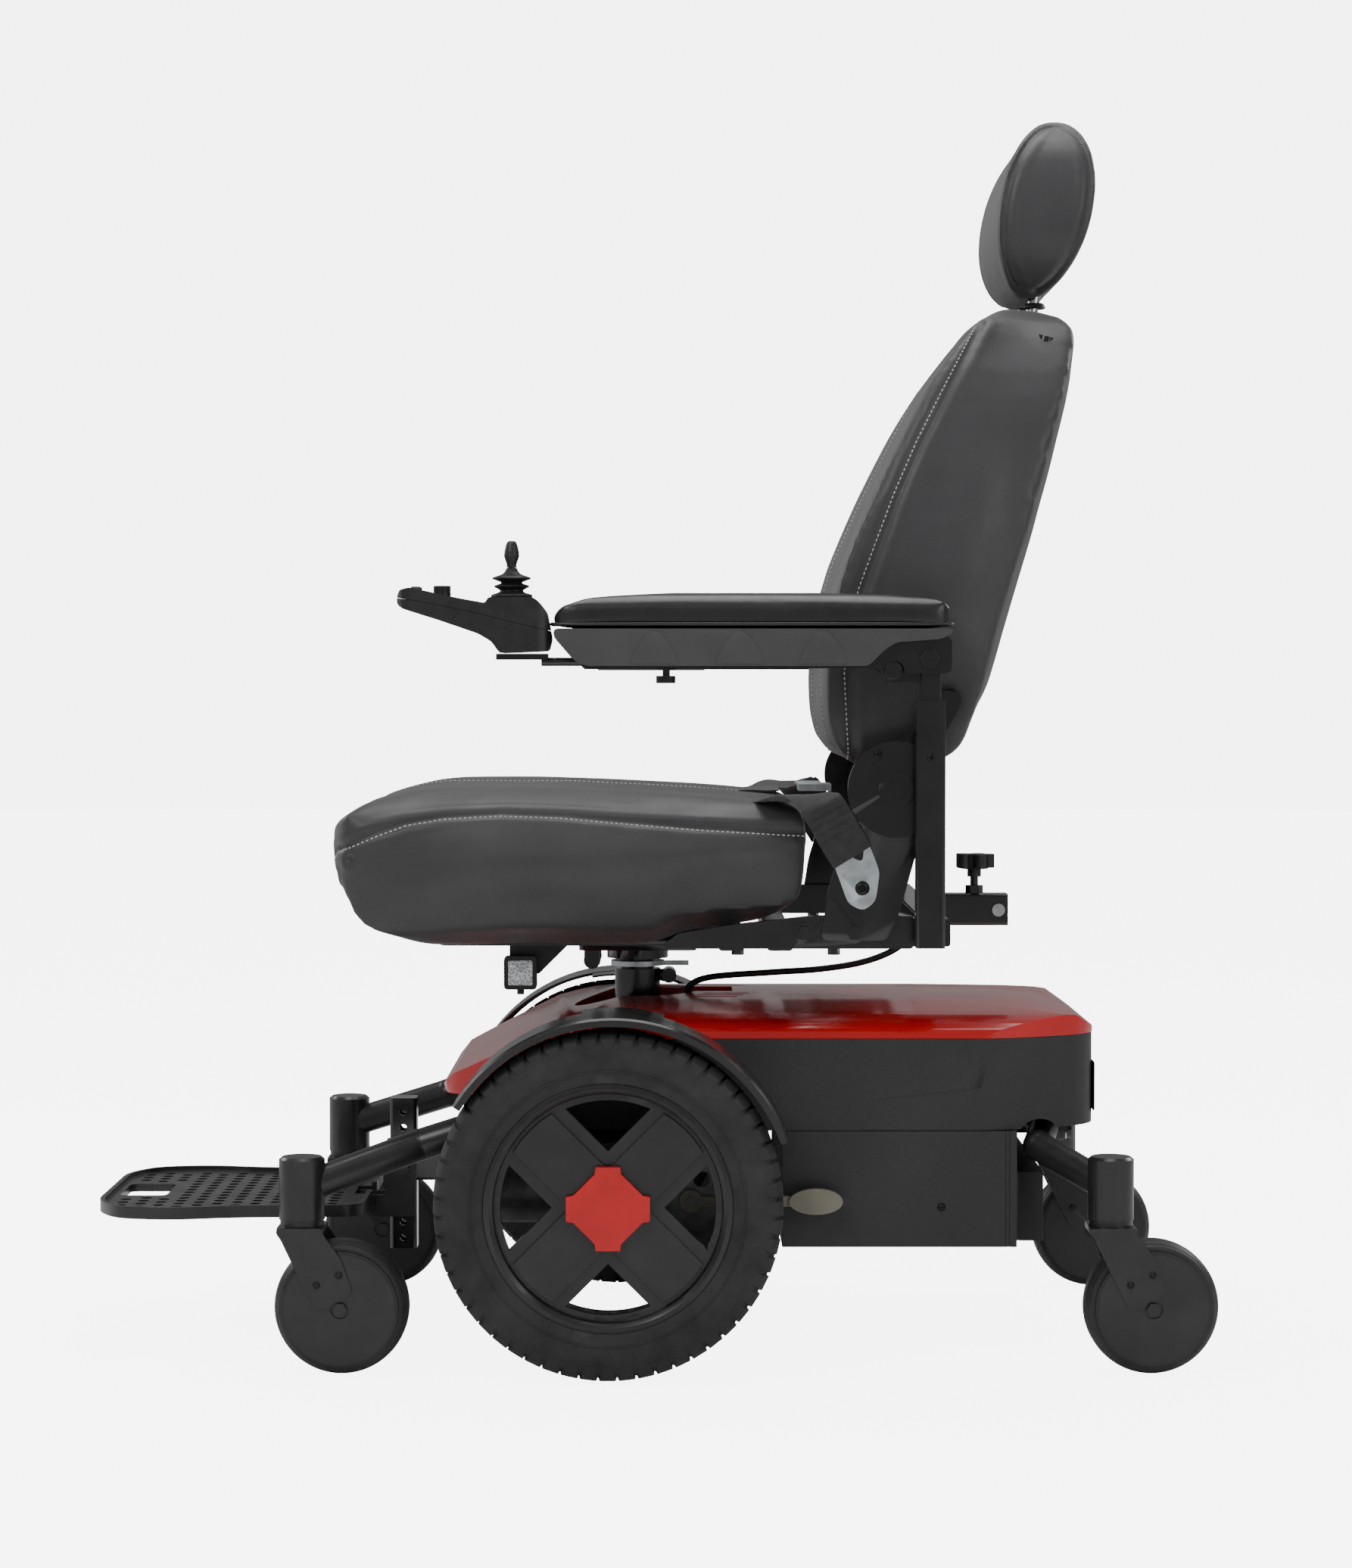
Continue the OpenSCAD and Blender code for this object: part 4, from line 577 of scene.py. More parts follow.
# ------------------------------------------------------------------ stage
class CHAIR_OT_stage(bpy.types.Operator):
    """Makes the camera, the pale floor and the soft studio lights"""
    bl_idname = "chair.stage"
    bl_label = "Stage"

    def execute(self, context):
        scene = context.scene
        cam = bpy.data.cameras.new("view")
        cam.lens = 80.06
        cam.clip_end = 60
        eye = bpy.data.objects.new("view", cam)
        eye.location = (0.0296, -3.545, 0.662)
        eye.rotation_euler = (math.radians(90 - 1.76), 0, 0)
        scene.collection.objects.link(eye)
        scene.camera = eye
        world = bpy.data.worlds.new("studio")
        world.use_nodes = True
        back = world.node_tree.nodes["Background"]
        back.inputs["Color"].default_value = (1, 1, 1, 1)
        back.inputs["Strength"].default_value = 0.26
        bright = world.node_tree.nodes.new("ShaderNodeBackground")
        bright.inputs["Strength"].default_value = PAPER * 1.2
        blend = world.node_tree.nodes.new("ShaderNodeMixShader")
        path = world.node_tree.nodes.new("ShaderNodeLightPath")
        world.node_tree.links.new(path.outputs["Is Camera Ray"], blend.inputs[0])
        world.node_tree.links.new(back.outputs[0], blend.inputs[1])
        world.node_tree.links.new(bright.outputs[0], blend.inputs[2])
        world.node_tree.links.new(blend.outputs[0], world.node_tree.nodes["World Output"].inputs[0])
        scene.world = world
        bm = bmesh.new()
        bmesh.ops.create_circle(bm, cap_ends=True, segments=96, radius=14)
        for v in bm.verts:
            v.co.z -= 0.0006
        mesh = bpy.data.meshes.new("floor")
        bm.to_mesh(mesh)
        bm.free()
        f = Finish("pale floor", (0.9, 0.9, 0.9), 0.7)
        f.shades(f.noise(3, 3), 0.985, 1.01)
        f.shader.inputs["Emission Color"].default_value = (1, 1, 1, 1)
        tree = f.shader.id_data
        seen = tree.nodes.new("ShaderNodeLightPath")
        glow = tree.nodes.new("ShaderNodeMath")
        glow.operation = "MULTIPLY"
        glow.inputs[1].default_value = PAPER
        tree.links.new(seen.outputs["Is Camera Ray"], glow.inputs[0])
        tree.links.new(glow.outputs[0], f.shader.inputs["Emission Strength"])
        floor = keep("floor", mesh, "pale floor")
        for name, place, aim, size, power in (
                ("key", (-1.5, -2.5, 2.7), (0, 0, 0.5), 1.5, 44), ("fill", (2.3, -2.4, 1.6), (0, 0, 0.5), 1.4, 20),
                ("top", (0.1, 0.2, 3.0), (0, 0, 0.4), 1.8, 44), ("rim left", (-2.5, 1.5, 1.8), (0, 0, 0.6), 1.1, 26),
                ("rim right", (2.5, 1.7, 2.0), (0, 0, 0.6), 1.1, 26)):
            lamp = bpy.data.lights.new(name, "AREA")
            lamp.size = size
            lamp.energy = power
            obj = bpy.data.objects.new(name, lamp)
            obj.location = place
            obj.rotation_euler = (Vector(aim) - Vector(place)).to_track_quat("-Z", "Y").to_euler()
            scene.collection.objects.link(obj)
        return {"FINISHED"}


# ------------------------------------------------------------------ cable
CABLE = [(67, -16, 296), (67, -16, 306), (68, -17, 319), (70, -18, 333), (75, -19, 346), (84, -21, 354),
         (99, -24, 358.5), (120, -28, 361), (146, -32, 363), (172, -36, 365), (198, -41, 367), (222, -45, 370),
         (244, -49, 374), (264, -53, 380), (281, -57, 388), (294, -60, 398), (302, -62, 407.8)]


class CHAIR_OT_cable(bpy.types.Operator):
    """Makes the seat cable, which runs from the base up under the seat, and its boots; only the upper boot rides on the
    seat
    """
    bl_idname = "chair.cable"
    bl_label = "Seat cable"

    def execute(self, context):
        bm = bmesh.new()
        path = curved([at(*p) for p in CABLE], 4)
        tube(bm, path, 0.0033, 14)
        piece = keep("seat_cable", mesh_of(bm, "seat_cable"), "cable jacket", smooth=80)
        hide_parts("control_cable")
        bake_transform(piece)
        bm = bmesh.new()
        tube(bm, path[:7], [0.0062, 0.0061, 0.0058, 0.0054, 0.005, 0.0045, 0.004], 14)
        keep("cable_boot_low", mesh_of(bm, "boot"), "boot rubber", "base", 80)
        bm = bmesh.new()
        tube(bm, path[-7:], [0.0038, 0.0042, 0.0046, 0.005, 0.0054, 0.0056, 0.0057], 14)
        keep("cable_boot_high", mesh_of(bm, "boot"), "boot rubber", "seat", 80)
        return {"FINISHED"}


# ------------------------------------------------------------------ upholstery
def cushion_form(node, voxel, inset, rounds):
    """A rounded, slightly smaller copy of a cushion's solid, remeshed evenly."""
    bm = merged_copy(node)
    mesh = bpy.data.meshes.new(node)
    bm.to_mesh(mesh)
    bm.free()
    obj = bpy.data.objects.new(node + "_form", mesh)
    bpy.context.scene.collection.objects.link(obj)
    m = obj.modifiers.new("even", "REMESH")
    m.mode = "VOXEL"
    m.voxel_size = voxel
    s = obj.modifiers.new("round", "SMOOTH")
    s.factor = 0.5
    s.iterations = rounds
    graph = bpy.context.evaluated_depsgraph_get()
    graph.update()
    new = bpy.data.meshes.new_from_object(obj.evaluated_get(graph), depsgraph=graph)
    obj.modifiers.clear()
    obj.data = new
    normals = [v.normal.copy() for v in new.vertices]
    for v, n in zip(new.vertices, normals):
        v.co -= n * inset
    return obj


EVEN_ROUNDS = 14  # passes that even out the cloth's folds


def swelled(obj, pressure, cap, tied):
    """Blows the cover up with Cloth while the tied points stay, each point moving no more than cap."""
    rest = [v.co.copy() for v in obj.data.vertices]
    group = obj.vertex_groups.new(name="seam")
    group.add(tied, 1.0, "REPLACE")
    mod = obj.modifiers.new("swell", "CLOTH")
    s = mod.settings
    s.quality = 4
    s.use_pressure = True
    s.uniform_pressure_force = pressure
    s.effector_weights.gravity = 0
    s.tension_stiffness = 18
    s.compression_stiffness = 12
    s.shear_stiffness = 8
    s.bending_stiffness = 2.5
    s.vertex_group_mass = "seam"
    mod.collision_settings.use_collision = False
    mod.collision_settings.use_self_collision = False
    mod.point_cache.frame_start = 1
    mod.point_cache.frame_end = 20
    scene = bpy.context.scene
    for f in range(1, 21):
        scene.frame_set(f)
    graph = bpy.context.evaluated_depsgraph_get()
    after = [v.co.copy() for v in obj.evaluated_get(graph).to_mesh().vertices]
    obj.evaluated_get(graph).to_mesh_clear()
    obj.modifiers.clear()
    obj.vertex_groups.clear()
    scene.frame_set(1)
    moved = []
    for a, b in zip(rest, after):
        d = b - a
        moved.append(d * min(1.0, cap / max(d.length, 1e-9)))
    beside = [[] for _ in rest]
    for e in obj.data.edges:
        a, b = e.vertices
        beside[a].append(b)
        beside[b].append(a)
    still = set(tied)
    for _ in range(EVEN_ROUNDS):
        moved = [d if i in still else (d + sum((moved[j] for j in beside[i]), Vector())) / (1 + len(beside[i]))
                 for i, d in enumerate(moved)]
    for v, a, d in zip(obj.data.vertices, rest, moved):
        v.co = a + d
    obj.data.update()


def near_lines(mesh, lines, reach):
    """Indices of the vertices within reach of the lines, each with its distance."""
    points = [p for line in lines for p in line]
    if not points:
        return {}
    tree = KDTree(len(points))
    for k, p in enumerate(points):
        tree.insert(p, k)
    tree.balance()
    found = {}
    for v in mesh.vertices:
        d = tree.find(v.co)[2]
        if d < reach:
            found[v.index] = d
    return found


def on_surface(mesh, points, towards):
    """Each point moved along towards (or its own direction) on to the mesh."""
    tree = BVHTree.FromPolygons([v.co for v in mesh.vertices], [p.vertices[:] for p in mesh.polygons])
    out = []
    for i, p in enumerate(points):
        d = Vector(towards[i] if isinstance(towards, list) else towards).normalized()
        hit = tree.ray_cast(p - d * 0.15, d, 0.4)
        if hit[0] is None:
            hit = tree.find_nearest(p)
        out.append((hit[0], hit[1]))
    return out


def even_line(points, step=0.004):
    """The line with points a step apart."""
    out, carry = [points[0]], 0.0
    for a, b in zip(points, points[1:]):
        d = (b - a).length
        t = step - carry
        while t < d:
            out.append(a.lerp(b, t / d))
            t += step
        carry = (carry + d) % step if d else carry
    return out + [points[-1]]


def cover(node, body, seams, voxel=0.006, inset=0.006, rounds=10, cap=0.012, fill=0.8, pull=None,
          finish="grained cover"):
    """The cushion's cover: swelled form, grooves along its seams, and stitches beside them.

    seams is a list of (points, direction to cast, row offsets in metres, thread finish).
    """
    up = bpy.context.scene.chair_upholstery
    obj = cushion_form(node, voxel, inset, rounds)
    lines = [even_line([h for h, _ in on_surface(obj.data, even_line(pts, 0.004), d)], 0.004) for pts, d, _, _ in seams]
    tied = list(near_lines(obj.data, lines, voxel * 0.9))
    swelled(obj, up.swell, cap, tied)
    if pull:
        pull(obj.data)
    sub = obj.modifiers.new("fine", "SUBSURF")
    sub.levels = sub.render_levels = 1
    graph = bpy.context.evaluated_depsgraph_get()
    graph.update()
    mesh = bpy.data.meshes.new_from_object(obj.evaluated_get(graph), depsgraph=graph)
    drop(obj)
    lines = [[h for h, _ in on_surface(mesh, even_line(pts, 0.003), d)] for pts, d, _, _ in seams]
    normals = [v.normal.copy() for v in mesh.vertices]
    for i, d in near_lines(mesh, lines, 0.016).items():
        dip = math.exp(-(d / 0.0035) ** 2) - 0.22 * math.exp(-((d - 0.010) / 0.004) ** 2)
        mesh.vertices[i].co -= normals[i] * up.groove * dip
    mesh.update()
    piece = keep(node + "_cover", mesh, finish, body, smooth=180)
    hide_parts(node)
    rows = {}
    for pts, d, offsets, thread in seams:
        base = even_line(pts, 0.004)
        for off in offsets:
            moved = []
            for i, p in enumerate(base):
                t = (base[min(i + 1, len(base) - 1)] - base[max(i - 1, 0)]).normalized()
                moved.append(p + Vector(d).cross(t).normalized() * off)
            hits = [h + n * 0.0003 for h, n in on_surface(mesh, moved, d)]
            hits = [hits[0]] + [h for g, h in zip(hits, hits[1:]) if (h - g).length < 0.03]
            rows.setdefault(thread, []).append(hits)
    for thread, lines in rows.items():
        stitched(f"{node}_{thread.replace(' ', '_')}", lines, body, thread,
                 thick=0.0015 if thread == "seam thread" else 0.0011)
    return piece


SEAT_SIDE_SEAM = [(-268, 488), (-262, 497), (-222, 514), (-194, 524), (-158, 530), (-104, 533), (-47, 531),
                  (10, 526), (81, 520), (135, 517), (190, 514)]
BACK_SIDE_SEAM = [(359, 1004), (341, 971), (320, 932), (295, 883), (274, 835),
                  (256, 787), (240, 743), (227, 666), (230, 611), (232, 582)]


class CHAIR_OT_seat(bpy.types.Operator):
    """Sews the seat cushion's cover"""
    bl_idname = "chair.seat"
    bl_label = "Seat cushion"

    def execute(self, context):
        seams = []
        for _, s in SIDES:
            seams.append(([at(x, s * 262, z) for x, z in SEAT_SIDE_SEAM], (0, -s, 0), (-s * 0.004,), "seam thread"))
            top = ((-262, 96), (-200, 100), (-120, 106), (-40, 112), (60, 116), (120, 112), (178, 104))
            seams.append(([at(x, s * y, 620) for x, y in top], (0, 0, -1), (0.005, -0.005), "seam thread"))
        seams.append(([at(-300, y, 470) for y in range(-200, 201, 20)], (1, 0, 0), (), "dark thread"))

        def pull(mesh):
            for v in mesh.vertices:
                x, y, z = v.co.x - AXLE_X, abs(v.co.y), v.co.z
                if z > 0.5:
                    v.co.z -= 0.010 * math.exp(-((y - 0.0) / 0.085) ** 2) * math.exp(-((x + 0.02) / 0.16) ** 2)

        piece = cover("seat_cushion", "seat", seams, pull=pull)
        return {"FINISHED"}


class CHAIR_OT_back(bpy.types.Operator):
    """Sews the back cushion's cover"""
    bl_idname = "chair.back"
    bl_label = "Back cushion"

    def execute(self, context):
        seams = []
        for _, s in SIDES:
            seams.append(([at(x, s * 262, z) for x, z in BACK_SIDE_SEAM], (0, -s, 0), (-s * 0.004,), "seam thread"))
            front = ((104, 590), (112, 640), (118, 720), (122, 800), (120, 880), (112, 950))
            seams.append(([at(80, s * y, z) for y, z in front], (1, 0, 0), (0.005, -0.005), "seam thread"))
        seams.append(([at(470, s, 628) for s in range(-190, 191, 20)], (-1, 0, 0), (), "dark thread"))

        def pull(mesh):
            for v in mesh.vertices:
                x, y, z = v.co.x - AXLE_X, abs(v.co.y), v.co.z
                if v.normal.x < -0.3:
                    v.co.x += 0.012 * math.exp(-(y / 0.075) ** 2) * math.exp(-((z - 0.86) / 0.14) ** 2)

        piece = cover("back_cushion", "backrest", seams, pull=pull, inset=0.001, rounds=7, cap=0.008)
        return {"FINISHED"}


class CHAIR_OT_headrest(bpy.types.Operator):
    """Sews the headrest's cover"""
    bl_idname = "chair.headrest"
    bl_label = "Headrest"

    def execute(self, context):
        lean = math.radians(11)
        seams = []
        for _, s in SIDES:
            oval = []
            for i in range(41):
                a = math.radians(-75 + 330 * i / 40)
                u, w = 40 * math.cos(a), 84 * math.sin(a)
                oval.append(at(427 + u * math.cos(lean) + w * math.sin(lean), s * 140,
                               1126 - u * math.sin(lean) + w * math.cos(lean)))
            seams.append((oval, (0, -s, 0), (), "dark thread"))
        piece = cover("headrest_cushion", "headrest", seams, voxel=0.004, inset=0.004, rounds=8, cap=0.006)
        bm = bmesh.new()
        for _, s in SIDES:
            ring = [(0.0062, 0), (0.0105, 0), (0.0115, 0.001), (0.0105, 0.004), (0.0085, 0.0055), (0.0062, 0.0055)]
            turned(bm, ring, at(421.5, s * 45, 1029.5), "Z", 32)
        keep("post_grommets", mesh_of(bm, "grommets"), "housing black", "backrest", 50)
        return {"FINISHED"}


class CHAIR_OT_arm_pads(bpy.types.Operator):
    """Makes the padded armrest tops"""
    bl_idname = "chair.arm_pads"
    bl_label = "Arm pads"

    def execute(self, context):
        for side, s in SIDES:
            y0 = 281
            obj = cover(f"arm_pad_{side}", f"armrest_{side}", [], voxel=0.003, inset=0.0015, rounds=6, cap=0.002,
                        fill=0.9, finish="arm vinyl")
            bm = bmesh.new()
            rim = []
            for i in range(64):
                a = 2 * math.pi * i / 64
                c, d = math.cos(a), math.sin(a)
                px = 134.5 + 187 * math.copysign(abs(c) ** 0.28, c)
                py = y0 + 30.5 * math.copysign(abs(d) ** 0.28, d)
                rim.append(at(px, s * py, 711))
            tube_ring(bm, rim, 0.0016)
            keep(f"arm_pad_welt_{side}", mesh_of(bm, "welt"), "arm vinyl", f"armrest_{side}", 80)
        return {"FINISHED"}


def tube_ring(bm, path, radius, sides=8):
    """A round bead along a closed path."""
    n = len(path)
    rings = []
    for i, p in enumerate(path):
        t = (path[(i + 1) % n] - path[i - 1]).normalized()
        up = Vector((0, 0, 1))
        up = (up - t * up.dot(t)).normalized()
        right = t.cross(up)
        rings.append([p + radius * (math.cos(2 * math.pi * k / sides) * up + math.sin(2 * math.pi * k / sides) * right)
                      for k in range(sides)])
    loft(bm, rings, closed=True)


# ------------------------------------------------------------------ wheels
class CHAIR_OT_tyres(bpy.types.Operator):
    """Makes the drive tyres with their tread lugs"""
    bl_idname = "chair.tyres"
    bl_label = "Drive tyres"

    def execute(self, context):
        wheel = context.scene.chair_wheels
        deep = wheel.lug_height
        top = AXLE_Z / 1000
        for side, s in SIDES:
            centre = at(0, s * DRIVE_Y, AXLE_Z)
            base = top - deep
            half = [(0.1135, 0.0255), (0.1168, 0.0262), (0.1172, 0.0335), (0.1205, 0.0352), (0.124, 0.0352),
                    (0.1262, 0.0362), (0.130, 0.0372), (0.136, 0.0374), (0.143, 0.0368), (0.1490, 0.0357),
                    (0.1500, 0.0350), (0.1530, 0.0342),
                    (base - 0.0060, 0.0318), (base - 0.0028, 0.0270), (base - 0.0010, 0.019), (base, 0.008)]
            outline = half + [(r, -t) for r, t in reversed(half)]
            bm = bmesh.new()
            turned(bm, outline, centre, "Y", 144)
            for t in (0.0032, -0.0032):
                ring = [centre + Vector((0.1295 * math.cos(a), s * math.copysign(0.0373, t), 0.1295 * math.sin(a)))
                        for a in [2 * math.pi * i / 96 for i in range(96)]]
                rows = []
                for i, p in enumerate(ring):
                    out = (p - centre)
                    out.y = 0
                    out.normalize()
                    rows.append([p + out * 0.0009 * math.cos(a) + Vector((0, 0.0009 * math.sin(a), 0))
                                 for a in [k * math.pi / 3 for k in range(6)]])
                loft(bm, rows, closed=True)
            body = keep(f"drive_tyre_body_{side}", mesh_of(bm, "tyre"), "drive rubber", f"drive_wheel_{side}", 30)
            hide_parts(f"drive_tyre_{side}")

            step = 2 * math.pi / wheel.lugs

            def block(bm, spans):
                """One lug: rows of (across, radius, half angle share, shift) skinned over the crown."""
                rings = []
                for t, r, wide, shift in spans:
                    low, a0, a1 = r - deep - 0.003, (shift - wide) * step, (shift + wide) * step
                    ring = []
                    for rad, a in ((low, a0 - 0.1 * step), (low, a1 + 0.1 * step), (r, a1), (r, a0)):
                        ring.append(Vector((rad * math.sin(a), t, rad * math.cos(a))))
                    rings.append(ring)
                loft(bm, rings)

            shoulder = ((0.0351, 0.1525, 0.26, 0.0), (0.0331, 0.1590, 0.33, 0.0), (0.0275, top - 0.0018, 0.39, 0.0),
                        (0.0185, top - 0.0004, 0.40, 0.06), (0.012, top, 0.30, 0.12))
            for kind, spans in (
                    ("shoulder_out", [(s * t, r, wide, shift) for t, r, wide, shift in shoulder]),
                    ("shoulder_in", [(-s * t, r, wide, shift + 0.5) for t, r, wide, shift in shoulder]),
                    ("centre", [(0.0095, top, 0.2, 0.40), (0.003, top, 0.34, 0.30), (-0.003, top, 0.34, 0.20),
                                (-0.0095, top, 0.2, 0.10)])):
                lug = template("lug", lambda bm: block(bm, spans))
                seed = bpy.data.meshes.new("seed")
                seed.from_pydata([(0, 0, 0)], [], [])
                mesh = run_tree(seed, tree_for("lugs"), {
                    "Lug": lug, "Count": wheel.lugs, "Centre": centre, "Finish": FINISHES["drive rubber"]})
                piece = keep(f"tread_{kind}_{side}", mesh, "drive rubber", f"drive_wheel_{side}", 30)
                drop(lug)
        return {"FINISHED"}


class CHAIR_OT_casters(bpy.types.Operator):
    """Makes the caster wheels' grooved tyres and hubs"""
    bl_idname = "chair.casters"
    bl_label = "Casters"

    def execute(self, context):
        r, h = 0.064, 0.018
        for c in CORNERS:
            low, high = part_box(f"caster_wheel_{c}")
            centre = (Vector(low) + Vector(high)) / 2
            half = [(0.0497, 0.0158), (0.0505, h - 0.0004), (0.0535, h), (0.0575, h - 0.0006), (0.0583, h - 0.0014),
                    (0.0588, h - 0.0014), (0.0594, h - 0.0022), (0.0602, h - 0.0034), (0.0606, h - 0.0046),
                    (0.0611, h - 0.0046), (0.0620, h - 0.0062),
                    (0.0632, h - 0.0088), (0.0638, h - 0.0110), (r, h - 0.0135)]
            bm = bmesh.new()
            turned(bm, half + [(q, -t) for q, t in reversed(half)], centre, "Y", 96)
            tyre = keep(f"caster_tyre_{c}", mesh_of(bm, "caster"), "caster rubber", f"wheel_{c}", 30)
            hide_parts(f"caster_wheel_{c}")
            hub = [(0.0051, h), (0.012, h), (0.0145, h - 0.001), (0.016, h - 0.0045), (0.018, h - 0.006),
                   (0.043, h - 0.006), (0.0455, h - 0.0045), (0.0465, h - 0.0018), (0.0497, h - 0.0018)]
            bm = bmesh.new()
            turned(bm, hub + [(q, -t) for q, t in reversed(hub)], centre, "Y", 72)
            keep(f"caster_hub_{c}", mesh_of(bm, "hub"), "moulded charcoal", f"wheel_{c}", 30)
        return {"FINISHED"}


class CHAIR_OT_rims(bpy.types.Operator):
    """Finishes the drive rims and their centre caps"""
    bl_idname = "chair.rims"
    bl_label = "Rims"

    def execute(self, context):
        for side, s in SIDES:
            rim = refined(f"drive_rim_{side}", "rim coat", f"drive_wheel_{side}", 0.0012, 28)
            cap = refined(f"hub_cap_{side}", "cap red", f"drive_wheel_{side}", 0.0008, 28)
            bm = bmesh.new()
            centre = at(0, s * DRIVE_Y, AXLE_Z)
            for r, t in ((0.1128, 0.0305), (0.1085, 0.0305)):
                turned(bm, [(r, t - 0.0008), (r + 0.0009, t), (r, t + 0.0008), (r - 0.0009, t)], centre, "Y", 120, s)
            keep(f"rim_bead_{side}", mesh_of(bm, "bead"), "powder coat", f"drive_wheel_{side}", 60)
        return {"FINISHED"}


# ------------------------------------------------------------------ base and frame
class CHAIR_OT_covers(bpy.types.Operator):
    """Finishes the moulded covers, fenders and battery case"""
    bl_idname = "chair.covers"
    bl_label = "Covers"

    def execute(self, context):
        edge = context.scene.chair_body.edge
        for node, finish, width, slot in (
                ("top_shroud", "shroud red", edge, "shroud_red"),
                ("lower_shroud", "moulded charcoal", edge, "case_charcoal"),
                ("battery_case", "moulded charcoal", edge, "case_charcoal"),
                ("fenders", "fender gloss", 0.0006, "fender_black")):
            refined(node, finish, "base", width, 30)
        return {"FINISHED"}


# CAD nodes that are shown as they are, by finish
STAYS = {
    "powder coat": ("chassis_frame", "seat_post", "accessory_receiver", "back_frame", "joystick_bracket"),
    "satin coat": ("rear_beam", "footplate_hanger", "front_arm_left", "front_arm_right"),
    "cast metal": ("power_module", "drive_motors", "joystick_gimbal"),
    "cell case": ("battery_pack",),
    "zinc plate": ("swivel_lever",),
    "bright steel": ("receiver_pin", "headrest_posts"),
    "housing black": ("reflectors", "star_knob", "joystick_stick", "speed_dial"),
    "button grey": ("power_button", "horn_button"),
    "lever beige": ("freewheel_lever_left", "freewheel_lever_right")}


class CHAIR_OT_metalwork(bpy.types.Operator):
    """Gives the frame's steel and the small moulded parts their finishes"""
    bl_idname = "chair.metalwork"
    bl_label = "Metalwork"

    def execute(self, context):
        for finish, nodes in STAYS.items():
            for node in nodes:
                finish_node(node, finish)
        for c in CORNERS:
            refined(f"caster_fork_{c}", "satin coat", f"fork_{c}", 0.0008, 30)
        refined("seat_frame", "powder coat", "seat", 0.0012, 30)
        refined("belt_hardware", "zinc plate", "seat", 0.0004, 30)
        for side, _ in SIDES:
            refined(f"arm_post_{side}", "powder coat", f"arm_riser_{side}", 0.0012, 30)
            refined(f"arm_bracket_{side}", "powder coat", f"armrest_{side}", 0.0008, 30)
        refined("footplate", "satin coat", "footplate", 0.0006, 30)
        refined("joystick_case", "housing black", "joystick", 0.0007, 30)
        for side, _ in SIDES:
            refined(f"arm_shell_{side}", "arm shell plastic", f"armrest_{side}", 0.0007, 30)
        return {"FINISHED"}


class CHAIR_OT_screws(bpy.types.Operator):
    """Sets the screw and bolt heads over the frame and covers"""
    bl_idname = "chair.screws"
    bl_label = "Screws"

    def execute(self, context):
        button = template("button_head", socket_head)
        cross = template("cross_head", cross_head)
        seat, base = [], []
        for _, s in SIDES:
            out = (0, s, 0)
            seat += [(at(x, s * 255.4, 420), out) for x in (185, 232)]
            seat += [(at(254, s * 262, 589), out), (at(301, s * 303.4, 587), out)]
            base += [(at(x, s * 190, z), out) for x, z in ((320, 150), (180, 150))]
        screws("seat_screws", button, seat, "seat", "screw black", 4.2)
        screws("case_screws", cross, base, "base", "screw black", 4.0)
        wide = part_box("belt_hardware")[1][1] * 1000
        anchors = [(at(239, s * wide, 463), (0, s, 0)) for _, s in SIDES]
        screws("anchor_bolts", button, anchors, "seat", "screw black", 7.0)
        for side, s in SIDES:
            spots = [(at(x, s * 290, 687), (0, 0, -1)) for x in (125, 180, 230)]
            screws(f"pad_screws_{side}", cross, spots, f"armrest_{side}", "screw zinc", 4.0)
        for c in CORNERS:
            low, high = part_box(f"caster_wheel_{c}")
            mid = (Vector(low) + Vector(high)) / 2
            spots = []
            for _, s in SIDES:
                spots += [(mid + Vector((x, FORK_LEG * s, z)), (0, s, 0))
                          for x, z in ((-0.022, 0.0235), (-0.001, 0.033))]
            screws(f"fork_screws_{c}", cross, spots, f"fork_{c}", "screw black", 3.6)
        under = [(at(x, JOY_Y + y, 688), (0, 0, -1)) for x in (-92, -64) for y in (-16, 16)]
        screws("joystick_screws", cross, under, "joystick", "screw black", 2.4)
        drop(button, cross)
        return {"FINISHED"}


